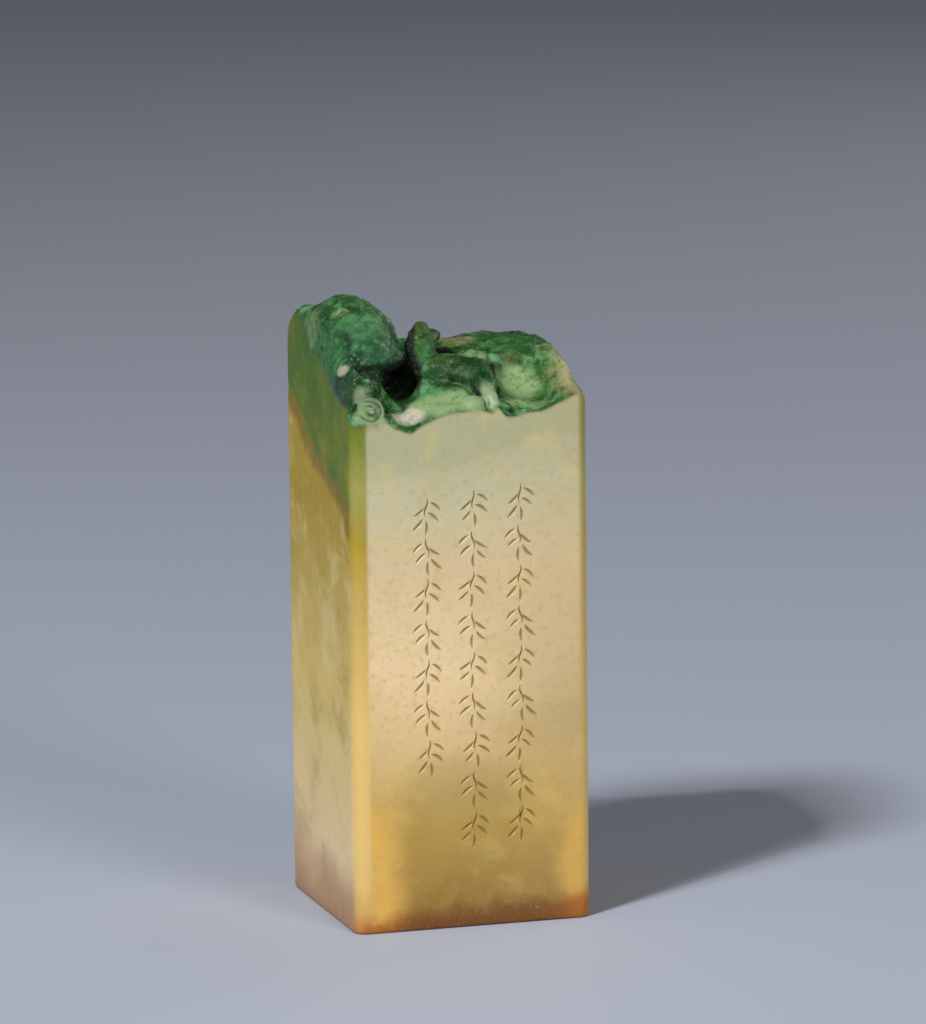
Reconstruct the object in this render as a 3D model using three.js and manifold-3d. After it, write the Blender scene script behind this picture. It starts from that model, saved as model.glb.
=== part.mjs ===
// A carved soapstone seal, in millimetres, +Z up, with the centre of its printing face at the origin.
// One stone: a square polished shaft, a top carved as rockwork with a resting animal's haunch and a
// curled tendril, and a printing face cut in relief underneath. The broad front faces -Y.
import * as THREE from "three";
import { mergeVertices } from "three/addons/utils/BufferGeometryUtils.js";
import Module from "manifold-3d";

const wasm = await Module();
wasm.setup();

// Shaft
const WIDTH = 28;
const DEPTH = 27;
const SHOULDER = 59;
const EDGE_RADIUS = 1.5;
const FOOT_BEVEL = 0.4;

// Printing face
const RELIEF_DEPTH = 1.0;
const BORDER_WIDTH = 1.5;
const DISC_RADIUS = 1.7;
const PETALS = 8;
const PETAL_LENGTH = 4.4;
const PETAL_WIDTH = 2.9;
const PETAL_GAP = 0.9;
const RING_RADIUS = 8.6;
const RING_WIDTH = 1.1;
const CORNER_LEAF_LENGTH = 4.2;
const CORNER_LEAF_WIDTH = 2.0;

// Carved top: heights are over the shoulder
const BOULDER_HEIGHT = 12.0;
const BOULDER_REACH = 8.9;
const BOULDER_HALF_WIDTH = 5.5;
const BOULDER_HALF_HEIGHT = 7.0;
const PINNACLE_HEIGHT = 9.1;
const PINNACLE_TIP_RADIUS = 0.9;
const RIDGE_HEIGHT = 5.9;
const GROUND_CLIMB = 3.3;
const HAUNCH_RADIUS = 2.35;
const LEG_RADIUS = 0.85;
const CURL_RADIUS = 1.6;
const SCOOP_REACH = 5.2;
const SIDE_WEAR = 2.4;
const LEFT_WEAR = 3.4;
const JOIN_FILLET = 1.2;
const CUT_FILLET = 0.9;

// Facets of the carved top
const CARVING_GRID = 0.7;
const SIDE_CLEARANCE = 0.06;

const LEFT = -WIDTH / 2;
const RIGHT = WIDTH / 2;
const FRONT = -DEPTH / 2;
const BACK = DEPTH / 2;

// A place in the carved top: mm in from the left face, mm behind the front face, mm above the shoulder.
const fromLeft = (x, y, z) => new THREE.Vector3(LEFT + x, FRONT + y, SHOULDER + z);

// The same, with x measured in from the right face.
const fromRight = (x, y, z) => new THREE.Vector3(RIGHT - x, FRONT + y, SHOULDER + z);

// The same two, with y measured in from the back face.
const fromBackLeft = (x, y, z) => new THREE.Vector3(LEFT + x, BACK - y, SHOULDER + z);
const fromBackRight = (x, y, z) => new THREE.Vector3(RIGHT - x, BACK - y, SHOULDER + z);

// A closed geometry as a solid that can be joined and cut.
function solid(geometry) {
  const bare = geometry.clone();
  bare.deleteAttribute("normal");
  bare.deleteAttribute("uv");
  const merged = mergeVertices(bare, 1e-4);
  return new wasm.Manifold(
    new wasm.Mesh({
      numProp: 3,
      vertProperties: new Float32Array(merged.attributes.position.array),
      triVerts: new Uint32Array(merged.index.array),
    }),
  );
}

const join = (solids) => solids.reduce((whole, next) => whole.add(next));

// Distances to a form, below zero inside it. Two are joined or cut with a fillet of the given size.
const softMin = (a, b, fillet) => {
  const near = Math.max(fillet - Math.abs(a - b), 0) / fillet;
  return Math.min(a, b) - (near * near * fillet) / 4;
};
const blend = (fillet, ...forms) => (p) =>
  forms.reduce((nearest, form) => softMin(nearest, form(p), fillet), 1e3);
const hollow = (fillet, form, ...cuts) => (p) =>
  cuts.reduce((distance, cut) => -softMin(-distance, cut(p), fillet), form(p));

// An egg-shaped stone with its half axes, turned by degrees about X, Y and Z.
function stone({ at, axes, turn = [0, 0, 0] }) {
  const [rx, ry, rz] = turn.map(THREE.MathUtils.degToRad);
  const toStone = new THREE.Matrix4().makeRotationFromEuler(new THREE.Euler(rx, ry, rz, "ZYX")).invert();
  const [a, b, c] = axes;
  const q = new THREE.Vector3();
  return (p) => {
    q.copy(p).sub(at).applyMatrix4(toStone);
    const reach = Math.hypot(q.x / a, q.y / b, q.z / c);
    const slope = Math.hypot(q.x / (a * a), q.y / (b * b), q.z / (c * c));
    return slope > 0 ? (reach * (reach - 1)) / slope : -Math.min(a, b, c);
  };
}

// A tapering limb through some points, with a radius at each.
function limb(points, radii) {
  const along = new THREE.Vector3();
  const away = new THREE.Vector3();
  return (p) => {
    let distance = 1e3;
    for (let i = 0; i < points.length - 1; i++) {
      along.subVectors(points[i + 1], points[i]);
      away.subVectors(p, points[i]);
      const t = THREE.MathUtils.clamp(away.dot(along) / along.lengthSq(), 0, 1);
      const gap = away.addScaledVector(along, -t).length() - THREE.MathUtils.lerp(radii[i], radii[i + 1], t);
      distance = softMin(distance, gap, 0.3);
    }
    return distance;
  };
}

// A smooth height over the span 0 to 1, through some places.
function profile(places) {
  const curve = new THREE.SplineCurve(places.map(([along, height]) => new THREE.Vector2(along, height)));
  const samples = curve.getPoints(8 * places.length);
  return (along) => {
    const next = samples.findIndex((sample) => sample.x > along);
    if (next < 0) return samples.at(-1).y;
    if (next === 0) return samples[0].y;
    const [a, b] = [samples[next - 1], samples[next]];
    return THREE.MathUtils.mapLinear(along, a.x, b.x, a.y, b.y);
  };
}

const acrossWidth = (p) => (p.x - LEFT) / WIDTH;
const acrossDepth = (p) => (p.y - FRONT) / DEPTH;

// The ground of the carving: its edge on the front face in millimetres over the shoulder, and how it
// climbs from there towards the back, as a share of the whole climb.
function ground() {
  const edge = profile([
    [0, 0.7],
    [0.12, 0.2],
    [0.19, -1.0],
    [0.25, -1.7],
    [0.31, -0.7],
    [0.38, -0.2],
    [0.5, 0.5],
    [0.59, 0],
    [0.68, -0.4],
    [0.82, 0.6],
    [0.94, 1.6],
    [1, 1.2],
  ]);
  const climb = profile([
    [0, 0],
    [0.15, 0.48],
    [0.32, 0.97],
    [0.52, 1],
    [0.82, 0.75],
    [1, 0.2],
  ]);
  return (p) => 0.85 * (p.z - SHOULDER - edge(acrossWidth(p)) - GROUND_CLIMB * climb(acrossDepth(p)));
}

// The rock ridge on the right: its profile as the right face shows it, as a share of its height,
// carried in to a flank that slants across the stone.
function ridge() {
  const crest = profile([
    [0, 0.05],
    [0.05, 0.19],
    [0.15, 0.41],
    [0.24, 0.68],
    [0.44, 0.86],
    [0.61, 1],
    [0.8, 0.88],
    [1, 0.56],
  ]);
  const flank = new THREE.Plane().setFromCoplanarPoints(
    fromLeft(10.0, 19.5, 2),
    fromLeft(19.5, 5.0, 2),
    fromLeft(12.5, 21.5, 7),
  );
  const side = Math.sign(flank.distanceToPoint(fromRight(0, DEPTH, 0)));
  return (p) => {
    const below = 0.85 * (SHOULDER + RIDGE_HEIGHT * crest(acrossDepth(p)) - p.z);
    return -softMin(below, side * flank.distanceToPoint(p), 1.5);
  };
}

// The big rounded rock on the left, flush with the left face, and what backs and carries it.
const boulder = () =>
  blend(
    2.2,
    stone({
      at: fromLeft(BOULDER_REACH - BOULDER_HALF_WIDTH, 12.8, BOULDER_HEIGHT - BOULDER_HALF_HEIGHT),
      axes: [BOULDER_HALF_WIDTH, 8.6, BOULDER_HALF_HEIGHT],
      turn: [0, 0, 8],
    }),
    stone({ at: fromLeft(1.0, 8.8, 0.4), axes: [5.2, 8.4, 4.4], turn: [-22, 0, 4] }),
    stone({ at: fromLeft(1.4, 20.4, BOULDER_HEIGHT - 8.7), axes: [6.2, 9.0, 6.8] }),
  );

// The twin pinnacle that stands between the boulder and the ridge.
function pinnacle() {
  const tip = PINNACLE_HEIGHT - PINNACLE_TIP_RADIUS;
  return blend(
    1.3,
    limb(
      [fromLeft(11.4, 12.2, 1.5), fromLeft(11.6, 11.4, tip - 3), fromLeft(11.4, 10.6, tip)],
      [3.0, 2.1, PINNACLE_TIP_RADIUS],
    ),
    limb([fromLeft(12.8, 13.4, 2.5), fromLeft(13.2, 12.6, tip - 1.5)], [2.4, 1.2]),
  );
}

// The animal's haunch, its lower leg down to the front edge, and its toes.
const haunch = () =>
  limb(
    [fromLeft(12.2, 10.0, 2.8), fromLeft(14.4, 8.0, 3.2), fromLeft(16.2, 6.2, 2.9), fromLeft(17.2, 3.8, 1.6)],
    [0.95 * HAUNCH_RADIUS, 0.9 * HAUNCH_RADIUS, HAUNCH_RADIUS, 0.67 * HAUNCH_RADIUS],
  );
const lowerLeg = () =>
  limb(
    [fromLeft(16.4, 3.4, 2.6), fromLeft(16.8, 1.6, 1.2), fromLeft(17.3, 0.3, -0.6)],
    [LEG_RADIUS, LEG_RADIUS, 1.1 * LEG_RADIUS],
  );
const toes = () =>
  blend(
    0.3,
    stone({ at: fromLeft(14.8, 1.6, 0.6), axes: [1.4, 1.6, 1.1] }),
    stone({ at: fromLeft(18.5, 0.7, 0.1), axes: [0.8, 0.9, 0.6] }),
  );

// The curled tendril at the near corner and the finger of rock above it.
const tendril = () =>
  blend(
    0.4,
    stone({ at: fromLeft(2.6, 0.6, 0.5), axes: [CURL_RADIUS, CURL_RADIUS, 1.1 * CURL_RADIUS] }),
    limb([fromLeft(0.8, 0.9, 0.8), fromLeft(1.4, 1.3, 2.0), fromLeft(2.8, 1.8, 3.1)], [0.7, 0.65, 0.5]),
  );

// Rounder rocks behind, that step down from the ridge's crest to the back face.
const backRocks = () =>
  blend(
    0.9,
    stone({ at: fromBackLeft(14.5, 4.6, RIDGE_HEIGHT - 5.0), axes: [4.6, 5.2, 4.0], turn: [12, 0, -15] }),
    stone({ at: fromBackRight(5.6, 3.8, RIDGE_HEIGHT - 4.6), axes: [5.0, 5.0, 3.8], turn: [10, 0, 20] }),
    stone({ at: fromBackLeft(10.2, 0.8, -0.4), axes: [4.2, 3.4, 3.2] }),
    stone({ at: fromBackRight(9.2, 0.4, -0.6), axes: [3.6, 3.0, 3.6] }),
  );

// The scooped face of the ridge.
const scoop = () =>
  stone({ at: fromRight(SCOOP_REACH + 0.3, 2.6, 6.2), axes: [SCOOP_REACH, 8.2, 6.5] });

// The dark hollow between the boulder and the pinnacle and the gap above it, the undercut along the
// boulder's lip, the valley behind the haunch, the cleft behind the pinnacle, and the gully down the back.
const cavity = () =>
  limb(
    [fromLeft(5.4, 3.6, 1.4), fromLeft(7.4, 5.0, 2.6), fromLeft(8.0, 8.5, 2.8), fromLeft(7.6, 12.5, 3.0)],
    [1.0, 1.7, 2.3, 1.6],
  );
const gap = () =>
  limb([fromLeft(8.4, 8.2, 4.2), fromLeft(8.8, 12.2, 5.4), fromLeft(9.2, 17.0, 6.4)], [1.5, 1.3, 1.2]);
const undercut = () =>
  limb([fromLeft(2.8, 3.2, 4.4), fromLeft(5.0, 3.6, 4.0), fromLeft(7.4, 5.6, 3.6)], [0.7, 1.1, 1.3]);
const valley = () =>
  limb([fromLeft(14.2, 12.5, 4.4), fromLeft(17.6, 9.2, 4.4), fromLeft(19.0, 5.0, 3.0)], [1.2, 1.2, 1.0]);
const cleft = () =>
  limb([fromLeft(13.8, 8.6, 6.0), fromLeft(14.5, 12.5, 5.6), fromLeft(14.6, 18.0, 7.4)], [0.6, 0.9, 0.8]);
const gully = () =>
  limb(
    [fromBackLeft(8.6, 11.0, 4.6), fromBackLeft(9.0, 5.0, 3.4), fromBackLeft(8.0, -0.6, 1.0)],
    [1.0, 1.2, 1.5],
  );

// A form whose edges on three of the stone's sides are worn round. The front edge is left crisp.
function worn(form) {
  const sides = [
    { beyond: (p) => LEFT - p.x, wear: LEFT_WEAR },
    { beyond: (p) => p.x - RIGHT, wear: SIDE_WEAR },
    { beyond: (p) => p.y - BACK, wear: SIDE_WEAR },
  ];
  return (p) => sides.reduce((d, { beyond, wear }) => -softMin(-d, 0.15 * wear - beyond(p), wear), form(p));
}

// The carved top as one form.
function carving() {
  const mass = blend(JOIN_FILLET, ground(), ridge(), boulder(), pinnacle(), backRocks());
  const opened = hollow(CUT_FILLET, mass, scoop(), cavity(), gap(), undercut(), valley(), cleft(), gully());
  return worn(blend(0.5, opened, haunch(), lowerLeg(), toes(), tendril()));
}

// Fills the shallower of the two gaps wherever a sampled form would touch itself along one grid edge,
// so that its surface stays a simple closed one.
function closeTouches(field, [nx, ny, nz], depth) {
  const strides = [1, nx, nx * ny];
  const limits = [nx - 1, ny - 1, nz - 1];
  for (let filled = true; filled; ) {
    filled = false;
    for (const [u, v] of [[0, 1], [1, 2], [0, 2]]) {
      for (let at = 0; at < field.length; at++) {
        const where = [at % nx, Math.floor(at / nx) % ny, Math.floor(at / strides[2])];
        if (where[u] >= limits[u] || where[v] >= limits[v]) continue;
        const ring = [at, at + strides[u], at + strides[u] + strides[v], at + strides[v]];
        const [a, b, c, d] = ring.map((corner) => field[corner] < 0);
        if (a !== c || b !== d || a === b) continue;
        const gaps = ring.filter((corner) => field[corner] >= 0).sort((p, q) => field[p] - field[q]);
        field[gaps[0]] = -depth;
        filled = true;
      }
    }
  }
}

// The surface of a form inside a box, as a closed mesh on a grid: one vertex in each cell that the
// surface crosses, at the mean of its crossings, and one quad for each grid edge that it crosses.
function surfaceOf(form, low, high, step) {
  const size = new THREE.Vector3().subVectors(high, low);
  const [cx, cy, cz] = size.toArray().map((length) => Math.ceil(length / step));
  const pitch = new THREE.Vector3(size.x / cx, size.y / cy, size.z / cz);
  const [nx, ny, nz] = [cx + 1, cy + 1, cz + 1];
  const place = (i, j, k) => new THREE.Vector3(i, j, k).multiply(pitch).add(low);
  const index = (i, j, k) => (k * ny + j) * nx + i;
  const field = new Float64Array(nx * ny * nz);
  for (let k = 0; k < nz; k++) {
    for (let j = 0; j < ny; j++) {
      for (let i = 0; i < nx; i++) {
        const rim = i === 0 || j === 0 || k === 0 || i === cx || j === cy || k === cz;
        field[index(i, j, k)] = rim ? step : form(place(i, j, k));
      }
    }
  }
  closeTouches(field, [nx, ny, nz], 0.1 * step);
  const corners = [0, 1, 2, 3, 4, 5, 6, 7].map((bits) => [bits & 1, (bits >> 1) & 1, (bits >> 2) & 1]);
  const edges = corners.flatMap((_, a) => [1, 2, 4].filter((bit) => !(a & bit)).map((bit) => [a, a | bit]));
  const vertices = [];
  const vertexOf = new Map();
  for (let k = 0; k < cz; k++) {
    for (let j = 0; j < cy; j++) {
      for (let i = 0; i < cx; i++) {
        const values = corners.map(([a, b, c]) => field[index(i + a, j + b, k + c)]);
        const mean = new THREE.Vector3();
        let crossings = 0;
        for (const [a, b] of edges) {
          if (values[a] < 0 === values[b] < 0) continue;
          const t = values[a] / (values[a] - values[b]);
          mean.add(new THREE.Vector3(...corners[a]).lerp(new THREE.Vector3(...corners[b]), t));
          crossings++;
        }
        if (crossings === 0) continue;
        mean.divideScalar(crossings);
        vertexOf.set(index(i, j, k), vertices.length);
        vertices.push(place(i + mean.x, j + mean.y, k + mean.z));
      }
    }
  }
  const faces = [];
  const quad = (cells, turned) => {
    const [a, b, c, d] = cells.map(([i, j, k]) => vertexOf.get(index(i, j, k)));
    faces.push(...(turned ? [a, c, b, a, d, c] : [a, b, c, a, c, d]));
  };
  for (let k = 0; k < cz; k++) {
    for (let j = 0; j < cy; j++) {
      for (let i = 0; i < cx; i++) {
        const inside = field[index(i, j, k)] < 0;
        if (inside !== field[index(i + 1, j, k)] < 0) {
          quad([[i, j - 1, k - 1], [i, j, k - 1], [i, j, k], [i, j - 1, k]], !inside);
        }
        if (inside !== field[index(i, j + 1, k)] < 0) {
          quad([[i - 1, j, k - 1], [i - 1, j, k], [i, j, k], [i, j, k - 1]], !inside);
        }
        if (inside !== field[index(i, j, k + 1)] < 0) {
          quad([[i - 1, j - 1, k], [i, j - 1, k], [i, j, k], [i - 1, j, k]], !inside);
        }
      }
    }
  }
  vertices.forEach(clearOfSides);
  return new THREE.BufferGeometry().setFromPoints(vertices).setIndex(faces);
}

// Moves a vertex that lies on one of the stone's sides, or almost, a little way out from it, so that
// the cut along the side leaves no slivers.
function clearOfSides(vertex) {
  const inner = new THREE.Vector2(WIDTH / 2 - EDGE_RADIUS, DEPTH / 2 - EDGE_RADIUS);
  const corner = new THREE.Vector2(Math.abs(vertex.x) - inner.x, Math.abs(vertex.y) - inner.y);
  const outward = corner.clone().max(new THREE.Vector2());
  if (outward.lengthSq() === 0) return;
  const distance = outward.length() - EDGE_RADIUS;
  if (Math.abs(distance) > SIDE_CLEARANCE) return;
  outward.setLength(SIDE_CLEARANCE - distance);
  vertex.x += Math.sign(vertex.x) * outward.x;
  vertex.y += Math.sign(vertex.y) * outward.y;
}

// How high the carving can reach.
const carvingTop = () =>
  SHOULDER + Math.max(BOULDER_HEIGHT, PINNACLE_HEIGHT, RIDGE_HEIGHT) + 2 * CARVING_GRID;

// A square outline with rounded corners, inset from the shaft's faces.
function shaftOutline(inset) {
  const [x, y, r] = [WIDTH / 2 - inset, DEPTH / 2 - inset, EDGE_RADIUS - inset];
  const outline = new THREE.Shape();
  outline.moveTo(-x + r, -y);
  outline.lineTo(x - r, -y);
  outline.absarc(x - r, -y + r, r, -Math.PI / 2, 0);
  outline.lineTo(x, y - r);
  outline.absarc(x - r, y - r, r, 0, Math.PI / 2);
  outline.lineTo(-x + r, y);
  outline.absarc(-x + r, y - r, r, Math.PI / 2, Math.PI);
  outline.lineTo(-x, -y + r);
  outline.absarc(-x + r, -y + r, r, Math.PI, 1.5 * Math.PI);
  return outline;
}

// The squared stone before carving, with rounded long edges and a fine bevel round its foot.
function blank() {
  const geometry = new THREE.ExtrudeGeometry(shaftOutline(FOOT_BEVEL), {
    depth: carvingTop() + 2 * CARVING_GRID,
    bevelEnabled: true,
    bevelSize: FOOT_BEVEL,
    bevelThickness: FOOT_BEVEL,
    bevelSegments: 1,
    curveSegments: 6,
  });
  return solid(geometry.translate(0, 0, FOOT_BEVEL));
}

// The pattern of the printing face as raised figures: disc, petals, ring and corner leaves.
function printingRelief() {
  const figure = (outline, curveSegments) =>
    new THREE.ExtrudeGeometry(outline, { depth: 2 * RELIEF_DEPTH, bevelEnabled: false, curveSegments });
  const leaf = (length, width, distance, angle) => {
    const outline = new THREE.Shape();
    outline.moveTo(0, 0);
    outline.bezierCurveTo(length * 0.3, width * 0.68, length * 0.8, width * 0.62, length, 0);
    outline.bezierCurveTo(length * 0.8, -width * 0.62, length * 0.3, -width * 0.68, 0, 0);
    return solid(figure(outline, 8).translate(distance, 0, 0).rotateZ(angle));
  };
  const disc = new THREE.Shape();
  disc.absarc(0, 0, DISC_RADIUS, 0, 2 * Math.PI);
  const ring = new THREE.Shape();
  ring.absarc(0, 0, RING_RADIUS + RING_WIDTH, 0, 2 * Math.PI);
  const hole = new THREE.Path();
  hole.absarc(0, 0, RING_RADIUS, 0, 2 * Math.PI, true);
  ring.holes.push(hole);
  const figures = [solid(figure(disc, 24)), solid(figure(ring, 36))];
  for (let i = 0; i < PETALS; i++) {
    figures.push(leaf(PETAL_LENGTH, PETAL_WIDTH, DISC_RADIUS + PETAL_GAP, (2 * Math.PI * i) / PETALS));
  }
  for (let i = 0; i < 4; i++) {
    const reach = RING_RADIUS + RING_WIDTH + PETAL_GAP;
    figures.push(leaf(CORNER_LEAF_LENGTH, CORNER_LEAF_WIDTH, reach, Math.PI / 4 + (Math.PI / 2) * i));
  }
  return join(figures);
}

// What is cut away from the printing face round its figures and inside its border.
function printingRecess() {
  const [x, y] = [WIDTH / 2 - FOOT_BEVEL - BORDER_WIDTH, DEPTH / 2 - FOOT_BEVEL - BORDER_WIDTH];
  return solid(new THREE.BoxGeometry(2 * x, 2 * y, 2 * RELIEF_DEPTH)).subtract(printingRelief());
}

function sealStone() {
  const margin = 2 * CARVING_GRID;
  const root = SHOULDER - 7 * CARVING_GRID;
  const low = new THREE.Vector3(LEFT - margin, FRONT - margin, root);
  const high = new THREE.Vector3(RIGHT + margin, BACK + margin, carvingTop());
  const top = solid(surfaceOf(carving(), low, high, CARVING_GRID));
  const shaft = blank().trimByPlane([0, 0, -1], -root - margin);
  const shaped = shaft.add(blank().intersect(top)).subtract(printingRecess());
  const mesh = shaped.getMesh();
  const geometry = new THREE.BufferGeometry();
  geometry.setAttribute("position", new THREE.BufferAttribute(mesh.vertProperties, 3));
  geometry.setIndex(new THREE.BufferAttribute(mesh.triVerts, 1));
  geometry.computeVertexNormals();
  const material = new THREE.MeshStandardMaterial({ color: 0xc3ad74, roughness: 0.3, metalness: 0 });
  const stoneMesh = new THREE.Mesh(geometry, material);
  stoneMesh.name = "seal_stone";
  return stoneMesh;
}

const seal = new THREE.Group();
seal.add(sealStone());

export default seal;
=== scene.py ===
"""A square seal of carved soapstone, set up for a studio picture.

The stone is one piece: a polished shaft, rockwork with a resting animal cut in the round on top, three
hanging sprays of leaves cut into the front, and a printing face in relief underneath. Its forms are
worked out in millimetres, as distances to a surface, and every mesh is in metres.
"""

from __future__ import annotations

import logging
import math
from dataclasses import dataclass, field
from enum import Enum
from functools import reduce
from typing import Any, Callable, Iterable, Sequence

import bmesh
import bpy
import numpy as np
from mathutils import Euler, Matrix, Vector


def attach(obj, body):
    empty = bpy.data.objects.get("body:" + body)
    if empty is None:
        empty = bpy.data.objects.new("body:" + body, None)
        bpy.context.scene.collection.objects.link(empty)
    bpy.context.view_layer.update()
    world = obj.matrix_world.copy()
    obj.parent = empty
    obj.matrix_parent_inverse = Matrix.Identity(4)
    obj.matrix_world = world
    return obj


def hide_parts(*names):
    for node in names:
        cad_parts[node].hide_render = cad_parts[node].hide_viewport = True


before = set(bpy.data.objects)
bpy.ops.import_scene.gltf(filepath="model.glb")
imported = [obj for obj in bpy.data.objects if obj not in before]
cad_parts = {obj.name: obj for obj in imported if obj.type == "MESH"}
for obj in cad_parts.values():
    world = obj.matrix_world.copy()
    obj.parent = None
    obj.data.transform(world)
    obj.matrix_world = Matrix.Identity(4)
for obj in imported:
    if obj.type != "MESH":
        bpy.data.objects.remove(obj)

LOG = logging.getLogger("seal")
MM = 0.001

Field = Callable[[np.ndarray], np.ndarray]
Place = tuple[float, float, float]


def soft_min(a: np.ndarray, b: np.ndarray, fillet: float) -> np.ndarray:
    """Joins two distances with a fillet.

    Args:
        a: Distances to one form, below zero inside it.
        b: Distances to the other form.
        fillet: Size of the fillet where the two meet, in millimetres.

    Returns:
        Distances to the joined form.
    """
    near = np.maximum(fillet - np.abs(a - b), 0.0) / fillet
    return np.minimum(a, b) - near * near * fillet / 4.0


def length_of(rows: np.ndarray) -> np.ndarray:
    """Returns the length of each row vector."""
    return np.sqrt(np.einsum("ij,ij->i", rows, rows))


def ease(values: np.ndarray, low: float, high: float) -> np.ndarray:
    """Returns 0 below low, 1 above high and an S-curve between them."""
    t = np.clip((values - low) / (high - low), 0.0, 1.0)
    return t * t * (3.0 - 2.0 * t)


def blend(fillet: float, *forms: Field) -> Field:
    """Joins forms with a fillet.

    Args:
        fillet: Size of the fillet.
        forms: The forms.

    Returns:
        Distances to the joined form.
    """

    def joined(at: np.ndarray) -> np.ndarray:
        """Measures the joined form.

        Args:
            at: The points.

        Returns:
            The distance at each.
        """
        whole = forms[0](at)
        for form in forms[1:]:
            whole = soft_min(whole, form(at), fillet)
        return whole

    return joined


def hollowed(fillet: float, form: Field, *cuts: Field) -> Field:
    """Takes cuts out of a form, with a fillet along their edges.

    Args:
        fillet: Size of the fillet.
        form: The form.
        cuts: What is taken out of it.

    Returns:
        Distances to what is left.
    """

    def opened(at: np.ndarray) -> np.ndarray:
        """Measures what is left.

        Args:
            at: The points.

        Returns:
            The distance at each.
        """
        whole = form(at)
        for cut in cuts:
            whole = -soft_min(-whole, cut(at), fillet)
        return whole

    return opened


def egg(at: Place, axes: Place, turn: Place = (0.0, 0.0, 0.0)) -> Field:
    """Makes an egg-shaped form.

    Args:
        at: Its centre.
        axes: Its three half axes.
        turn: Degrees that it is turned about X, then Y, then Z.

    Returns:
        Distances to it.
    """
    to_egg = np.array(Euler([math.radians(a) for a in turn], "XYZ").to_matrix())
    centre, half = np.array(at), np.array(axes)

    def distance(points: np.ndarray) -> np.ndarray:
        """Measures the egg.

        Args:
            points: The points.

        Returns:
            The distance at each.
        """
        local = (points - centre) @ to_egg
        reach = length_of(local / half)
        slope = length_of(local / half**2)
        return reach * (reach - 1.0) / np.maximum(slope, 1e-6)

    return distance


def limb(points: Sequence[Place], radii: Sequence[float], bend: float = 0.3) -> Field:
    """Makes a tapering limb through some points.

    Args:
        points: The points that its middle passes.
        radii: Its radius at each point.
        bend: Fillet between its stretches.

    Returns:
        Distances to it.
    """
    path = np.array(points)

    def distance(at: np.ndarray) -> np.ndarray:
        """Measures the limb.

        Args:
            at: The points.

        Returns:
            The distance at each.
        """
        whole = np.full(len(at), 1e3)
        for i in range(len(path) - 1):
            along, away = path[i + 1] - path[i], at - path[i]
            t = np.clip(away @ along / (along @ along), 0.0, 1.0)
            gap = length_of(away - t[:, None] * along) - radii[i] - (radii[i + 1] - radii[i]) * t
            whole = soft_min(whole, gap, bend)
        return whole

    return distance


def profile(places: Sequence[tuple[float, float]]) -> Field:
    """Makes a smooth height over the span 0 to 1.

    Args:
        places: Shares of the span and the height at each.

    Returns:
        The height for each share.
    """
    p = np.array(places)
    t = np.linspace(0.0, len(p) - 1.0, 8 * len(p) + 1)
    i = np.minimum(t.astype(int), len(p) - 2)
    w = (t - i)[:, None]
    before, a, b, after = p[np.maximum(i - 1, 0)], p[i], p[i + 1], p[np.minimum(i + 2, len(p) - 1)]
    start, end = (b - before) / 2, (after - a) / 2
    curve = (2 * a - 2 * b + start + end) * w**3 + (3 * b - 3 * a - 2 * start - end) * w**2 + start * w + a
    return lambda share: np.interp(share, curve[:, 0], curve[:, 1])


class Grain:
    """Smooth random values in space, the same in every run."""

    CELLS = 32

    def __init__(self, seed: int, pitch: float) -> None:
        """Fills the lattice.

        Args:
            seed: What makes this grain different from another.
            pitch: Millimetres between two values.
        """
        rng = np.random.default_rng(seed)
        self.values = rng.uniform(-1.0, 1.0, (self.CELLS,) * 3)
        self.pitch = pitch

    def at(self, points: np.ndarray) -> np.ndarray:
        """Finds the grain's value at some points.

        Args:
            points: The points.

        Returns:
            The value at each, between -1 and 1.
        """
        scaled = points / self.pitch
        cell = np.floor(scaled)
        t = scaled - cell
        t = t * t * (3.0 - 2.0 * t)
        low = cell.astype(int) % self.CELLS
        high = (low + 1) % self.CELLS
        total = np.zeros(len(points))
        for corner in range(8):
            take = [(corner >> axis) & 1 for axis in range(3)]
            index = tuple(high[:, a] if take[a] else low[:, a] for a in range(3))
            weight = np.prod([t[:, a] if take[a] else 1.0 - t[:, a] for a in range(3)], axis=0)
            total += weight * self.values[index]
        return total


def layered(layers: Sequence[tuple[int, float, float]], at: np.ndarray) -> np.ndarray:
    """Returns the sum of some grains at each point, each given by its seed, pitch and strength."""
    return sum(strength * Grain(seed, pitch).at(at) for seed, pitch, strength in layers)


@dataclass(frozen=True)
class StoneSize:
    """The squared stone, in millimetres. Its front faces -Y and its foot's middle is the origin."""

    width: float = 28.0
    depth: float = 27.0
    shoulder: float = 59.0
    edge_radius: float = 1.5
    foot_bevel: float = 0.4

    def left(self, x: float, y: float, z: float) -> Place:
        """Returns a place x in from the left face, y behind the front face and z over the shoulder."""
        return (x - self.width / 2, y - self.depth / 2, self.shoulder + z)

    def right(self, x: float, y: float, z: float) -> Place:
        """Returns a place x in from the right face, y behind the front face and z over the shoulder."""
        return (self.width / 2 - x, y - self.depth / 2, self.shoulder + z)

    def back_left(self, x: float, y: float, z: float) -> Place:
        """Returns a place x in from the left face, y in from the back face and z over the shoulder."""
        return (x - self.width / 2, self.depth / 2 - y, self.shoulder + z)

    def back_right(self, x: float, y: float, z: float) -> Place:
        """Returns a place x in from the right face, y in from the back face and z over the shoulder."""
        return (self.width / 2 - x, self.depth / 2 - y, self.shoulder + z)

    def beyond_sides(self, at: np.ndarray) -> np.ndarray:
        """Measures the shaft's four faces.

        Args:
            at: The points.

        Returns:
            How far each lies outside them, below zero inside.
        """
        half = np.array([self.width / 2, self.depth / 2]) - self.edge_radius
        q = np.abs(at[:, :2]) - half
        return length_of(np.maximum(q, 0.0)) + np.minimum(q.max(axis=1), 0.0) - self.edge_radius


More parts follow.
